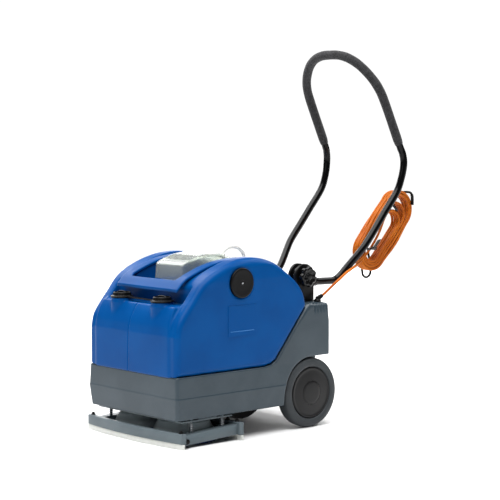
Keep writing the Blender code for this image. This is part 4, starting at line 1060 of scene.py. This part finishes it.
# ---- handle ---------------------------------------------------------------------------------------
def make_handle():
    """The bent tube with its foam sleeve."""
    half = [(-a, y(b), c) for a, b, c in HANDLE]
    other = [(a, y(b), c) for a, b, c in reversed(HANDLE[:-1])]
    path = smooth_path(half + other, 8)
    points, faces = swept(path, TUBE_R, 28)
    tube = face_out(piece("handle_bar", points, faces, MATERIAL["coat"], "handle"))
    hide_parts("handle_tube")
    held = [p for p in path if p.z > FOAM_FROM_Z]
    last = len(held) - 1

    def foam_radius(share):
        edge = min(share, 1.0 - share) * last
        lump = 0.00018 * math.sin(31.0 * share) + 0.00012 * math.sin(83.0 * share + 1.0)
        return FOAM_R + lump - 0.0016 * max(0.0, 1.0 - edge / 1.6) ** 2

    points, faces = swept(held, foam_radius, 28)
    foam = face_out(piece("foam_sleeve", points, faces, grip_foam(), "handle", 60.0))
    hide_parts("foam_grip")


def make_hinges():
    for word in ("left", "right"):
        soften("hinge_bracket_" + word, 0.0022, MATERIAL["black"])
        soften("hinge_eye_" + word, 0.0012, MATERIAL["gloss"])
        finish("hinge_bolt_" + word, MATERIAL["steel"])
        make_clamp(word, -1 if word == "left" else 1)


def make_clamp(word, side):
    """A seven-lobed clamp knob on the outer side of a hinge bracket, with a dished face."""
    seat = side * BRACKET_SIDE
    profile = [(0.0064, 0.0), (0.0140, 0.0), (0.0142, 0.0036), (0.0160, 0.0048), (0.0262, 0.0060),
               (0.0295, 0.0074), (0.0308, 0.0100), (0.0310, 0.0130), (0.0304, 0.0160),
               (0.0286, 0.0188), (0.0262, 0.0202), (0.0236, 0.0206), (0.0205, 0.0198),
               (0.0168, 0.0176), (0.0128, 0.0168), (0.0112, 0.0176), (0.0100, 0.0198),
               (0.0082, 0.0214), (0.0050, 0.0220), (0.0, 0.0220)]
    placed = [(radius, seat + side * along) for radius, along in profile]

    def lobes(angle, along):
        height = abs(along - seat)
        depth = 0.0040 if 0.0050 < height < 0.0212 else 0.0
        return -depth * (0.5 + 0.5 * math.cos(7.0 * angle)) ** 1.5

    pivot = (side * HINGE[0], y(HINGE[1]), HINGE[2])
    made = turned_piece("lobed_knob_" + word, placed, "X", pivot, MATERIAL["gloss"], "clamp_" + word,
                        126, lobes)
    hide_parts("clamp_knob_" + word)


# ---- brushes and squeegees ------------------------------------------------------------------------
def make_tufts():
    """Bristle rings: five circles of tufts on each brush, splayed outwards, the last one most."""
    for word, centre_x in (("left", -BRUSH_X), ("right", BRUSH_X)):
        parts = []
        for ring in range(5):
            top_radius = 0.0500 + 0.0073 * ring
            splay = 0.0004 + 0.0007 * ring + (0.0050 if ring == 4 else 0.0)
            count = int(2.0 * math.pi * top_radius / 0.0062)
            for k in range(count):
                turn = 2.0 * math.pi * (k + 0.5 * (ring % 2)) / count
                lean = 0.0012 * math.sin(7.0 * k + 3.0 * ring)
                out = Vector((math.cos(turn), math.sin(turn), 0.0))
                round_way = Vector((-out.y, out.x, 0.0))
                spot = Vector((centre_x, y(BRUSH_AT), 0.0))
                high = spot + out * top_radius + Vector((0.0, 0.0, 0.0222))
                low = spot + out * (top_radius + splay) + round_way * lean
                parts.append(swept([high, (high + low) / 2.0, low],
                                   lambda share: 0.0023 + 0.0007 * share, 7))
        points, faces = joined(parts)
        tufts = face_out(piece("tufts_" + word, points, faces, MATERIAL["tuft"], "brush_" + word))
        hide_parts("brush_bristles_" + word)
        # the brush blocks take the paler grey, which paints in the floor's bounce light
        soften("brush_block_" + word, 0.0030, MATERIAL["pale"])


def bowed_strip(name, half, front, thickness, low, high, bow, edge, material):
    """A strip across the machine whose front bows forward at its middle, with rounded edges."""
    steps = 48
    section = []
    for a, b, start in ((thickness - edge, high - edge, 0), (edge, high - edge, 90), (edge, low + edge, 180),
                        (thickness - edge, low + edge, 270)):
        section += arc((a, b), edge, start, start + 90, 3)
    points = []
    faces = []
    for k in range(steps + 1):
        x = -half + 2.0 * half * k / steps
        ahead = front - bow * (1.0 - (x / half) ** 2)
        points += [Vector((x, y(ahead + a), b)) for a, b in section]
    count = len(section)
    for k in range(steps):
        for i in range(count):
            j = (i + 1) % count
            faces.append((k * count + i, k * count + j, (k + 1) * count + j, (k + 1) * count + i))
    faces.append(tuple(range(count)))
    faces.append(tuple(reversed(range(steps * count, steps * count + count))))
    return face_out(piece(name, points, faces, material, "squeegee"))


def make_squeegees():
    strips = (("front_carrier", "squeegee_carrier_front", 0.209, 0.0, 0.0165, 0.0148, 0.0425, 0.016, 0.0025,
               "nylon", "deck_grey"),
              ("front_blade", "squeegee_blade_front", 0.215, 0.0030, 0.0040, 0.0, 0.0145, 0.016, 0.0004,
               "blade", "blade_rubber"),
              ("rear_carrier", "squeegee_carrier_rear", 0.209, 0.2053, 0.0157, 0.0148, 0.050, 0.0, 0.0025,
               "nylon", "deck_grey"),
              ("rear_blade", "squeegee_blade_rear", 0.215, 0.2110, 0.0040, 0.0, 0.0145, 0.0, 0.0004,
               "blade", "blade_rubber"))
    for name, node, half, front, thick, low, high, bow, edge, finish_name, slot in strips:
        strip = bowed_strip(name, half, front, thick, low, high, bow, edge, MATERIAL[finish_name])
        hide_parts(node)
    soften("squeegee_frame", 0.0015, MATERIAL["nylon"])
    soften("deck_plate", 0.0008, MATERIAL["nylon"])
    make_springs()
    make_thumb_nuts()


def make_springs():
    """Float springs on the four posts, wound from round wire; their feet rise with the squeegee."""
    wire = 0.0010
    coil_radius = 0.0058
    turns = 5
    per_turn = 20
    high = 0.0648
    for word, x in (("left", -0.178), ("right", 0.178)):
        for end, at in (("front", 0.058), ("rear", 0.168)):
            low = 0.0356 + 0.010 * (at - 0.017) / 0.188
            path = []
            for k in range(turns * per_turn + 1):
                turn = 2.0 * math.pi * k / per_turn
                path.append(Vector((x + coil_radius * math.cos(turn), y(at) + coil_radius * math.sin(turn),
                                    low + (high - low) * k / (turns * per_turn))))
            points, faces = swept(path, wire, 8)
            spring = face_out(piece("spring_" + end + "_" + word, points, faces, MATERIAL["steel"],
                                    None))
            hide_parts("float_spring_" + end + "_" + word)
            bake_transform(spring)


def make_thumb_nuts():
    """Black thumb nuts that hold the carriers, and the guide rollers at their ends."""
    spots = [("front_left", -0.196, 0.0085, 0.0425), ("front_right", 0.196, 0.0085, 0.0425),
             ("rear_left", -0.190, 0.213, 0.050), ("rear_right", 0.190, 0.213, 0.050),
             ("rear_inner_left", -0.150, 0.213, 0.050), ("rear_inner_right", 0.150, 0.213, 0.050)]
    nut = [(0.0, 0.0), (0.0070, 0.0), (0.0070, 0.0022), (0.0046, 0.0030), (0.0044, 0.0062), (0.0034, 0.0074),
           (0.0, 0.0078)]

    def facets(angle, along):
        return -0.0006 * (0.5 + 0.5 * math.cos(8.0 * angle))

    for name, x, at, top in spots:
        placed = [(radius, top + along) for radius, along in nut]
        turned_piece("thumb_nut_" + name, placed, "Z", (x, y(at), 0.0), MATERIAL["black"], "squeegee",
                     32, facets)
    roller = [(0.0, -0.0045), (0.0058, -0.0045), (0.0070, -0.0035), (0.0070, 0.0035), (0.0058, 0.0045),
              (0.0, 0.0045)]
    for word, side in (("left", -1), ("right", 1)):
        placed = [(radius, side * 0.2052 + along) for radius, along in roller]
        turned_piece("guide_roller_" + word, placed, "X", (0.0, y(0.0225), 0.0200), MATERIAL["black"],
                     "squeegee", 32)


# ---- the rest -------------------------------------------------------------------------------------
def finish_inner_parts():
    """Frame nodes that keep their shape: housings, motor, gears, axle and the switch panel."""
    soften("vacuum_housing", 0.0030, MATERIAL["black"])
    soften("gear_case", 0.0012, MATERIAL["black"])
    soften("switch_panel", 0.0010, MATERIAL["black"])
    soften("brush_switch", 0.0008, MATERIAL["hub"])
    soften("suction_switch", 0.0008, MATERIAL["hub"])
    for node in ("brush_motor", "axle"):
        finish(node, MATERIAL["steel"])
    for node in ("brush_gear_left", "brush_gear_right", "idler_gear_left", "idler_gear_right"):
        finish(node, MATERIAL["ivory"])


MATERIAL = {
    "blue": rotomoulded_blue(),
    "grey": moulded_grey(),
    "nylon": injection_grey(),
    # paler copy of the deck grey: painted bounce light under the machine
    "pale": brush_body_painted_bounce_grey(),
    "black": injection_black(),
    "gloss": glossy_black(),
    "hub": hub_nylon(),
    "tyre": tyre_rubber(),
    "coat": powder_coat(),
    "blade": blade_urethane(),
    "tuft": tuft_nylon(),
    "steel": zinc_steel(),
    "ivory": gear_nylon(),
}

make_camera()
make_studio()
make_cable()
make_hooks()
make_tank()
make_carry_frame()
make_cover()
make_caps()
make_dial()
make_chassis()
make_wheels()
make_handle()
make_hinges()
make_tufts()
make_squeegees()
finish_inner_parts()
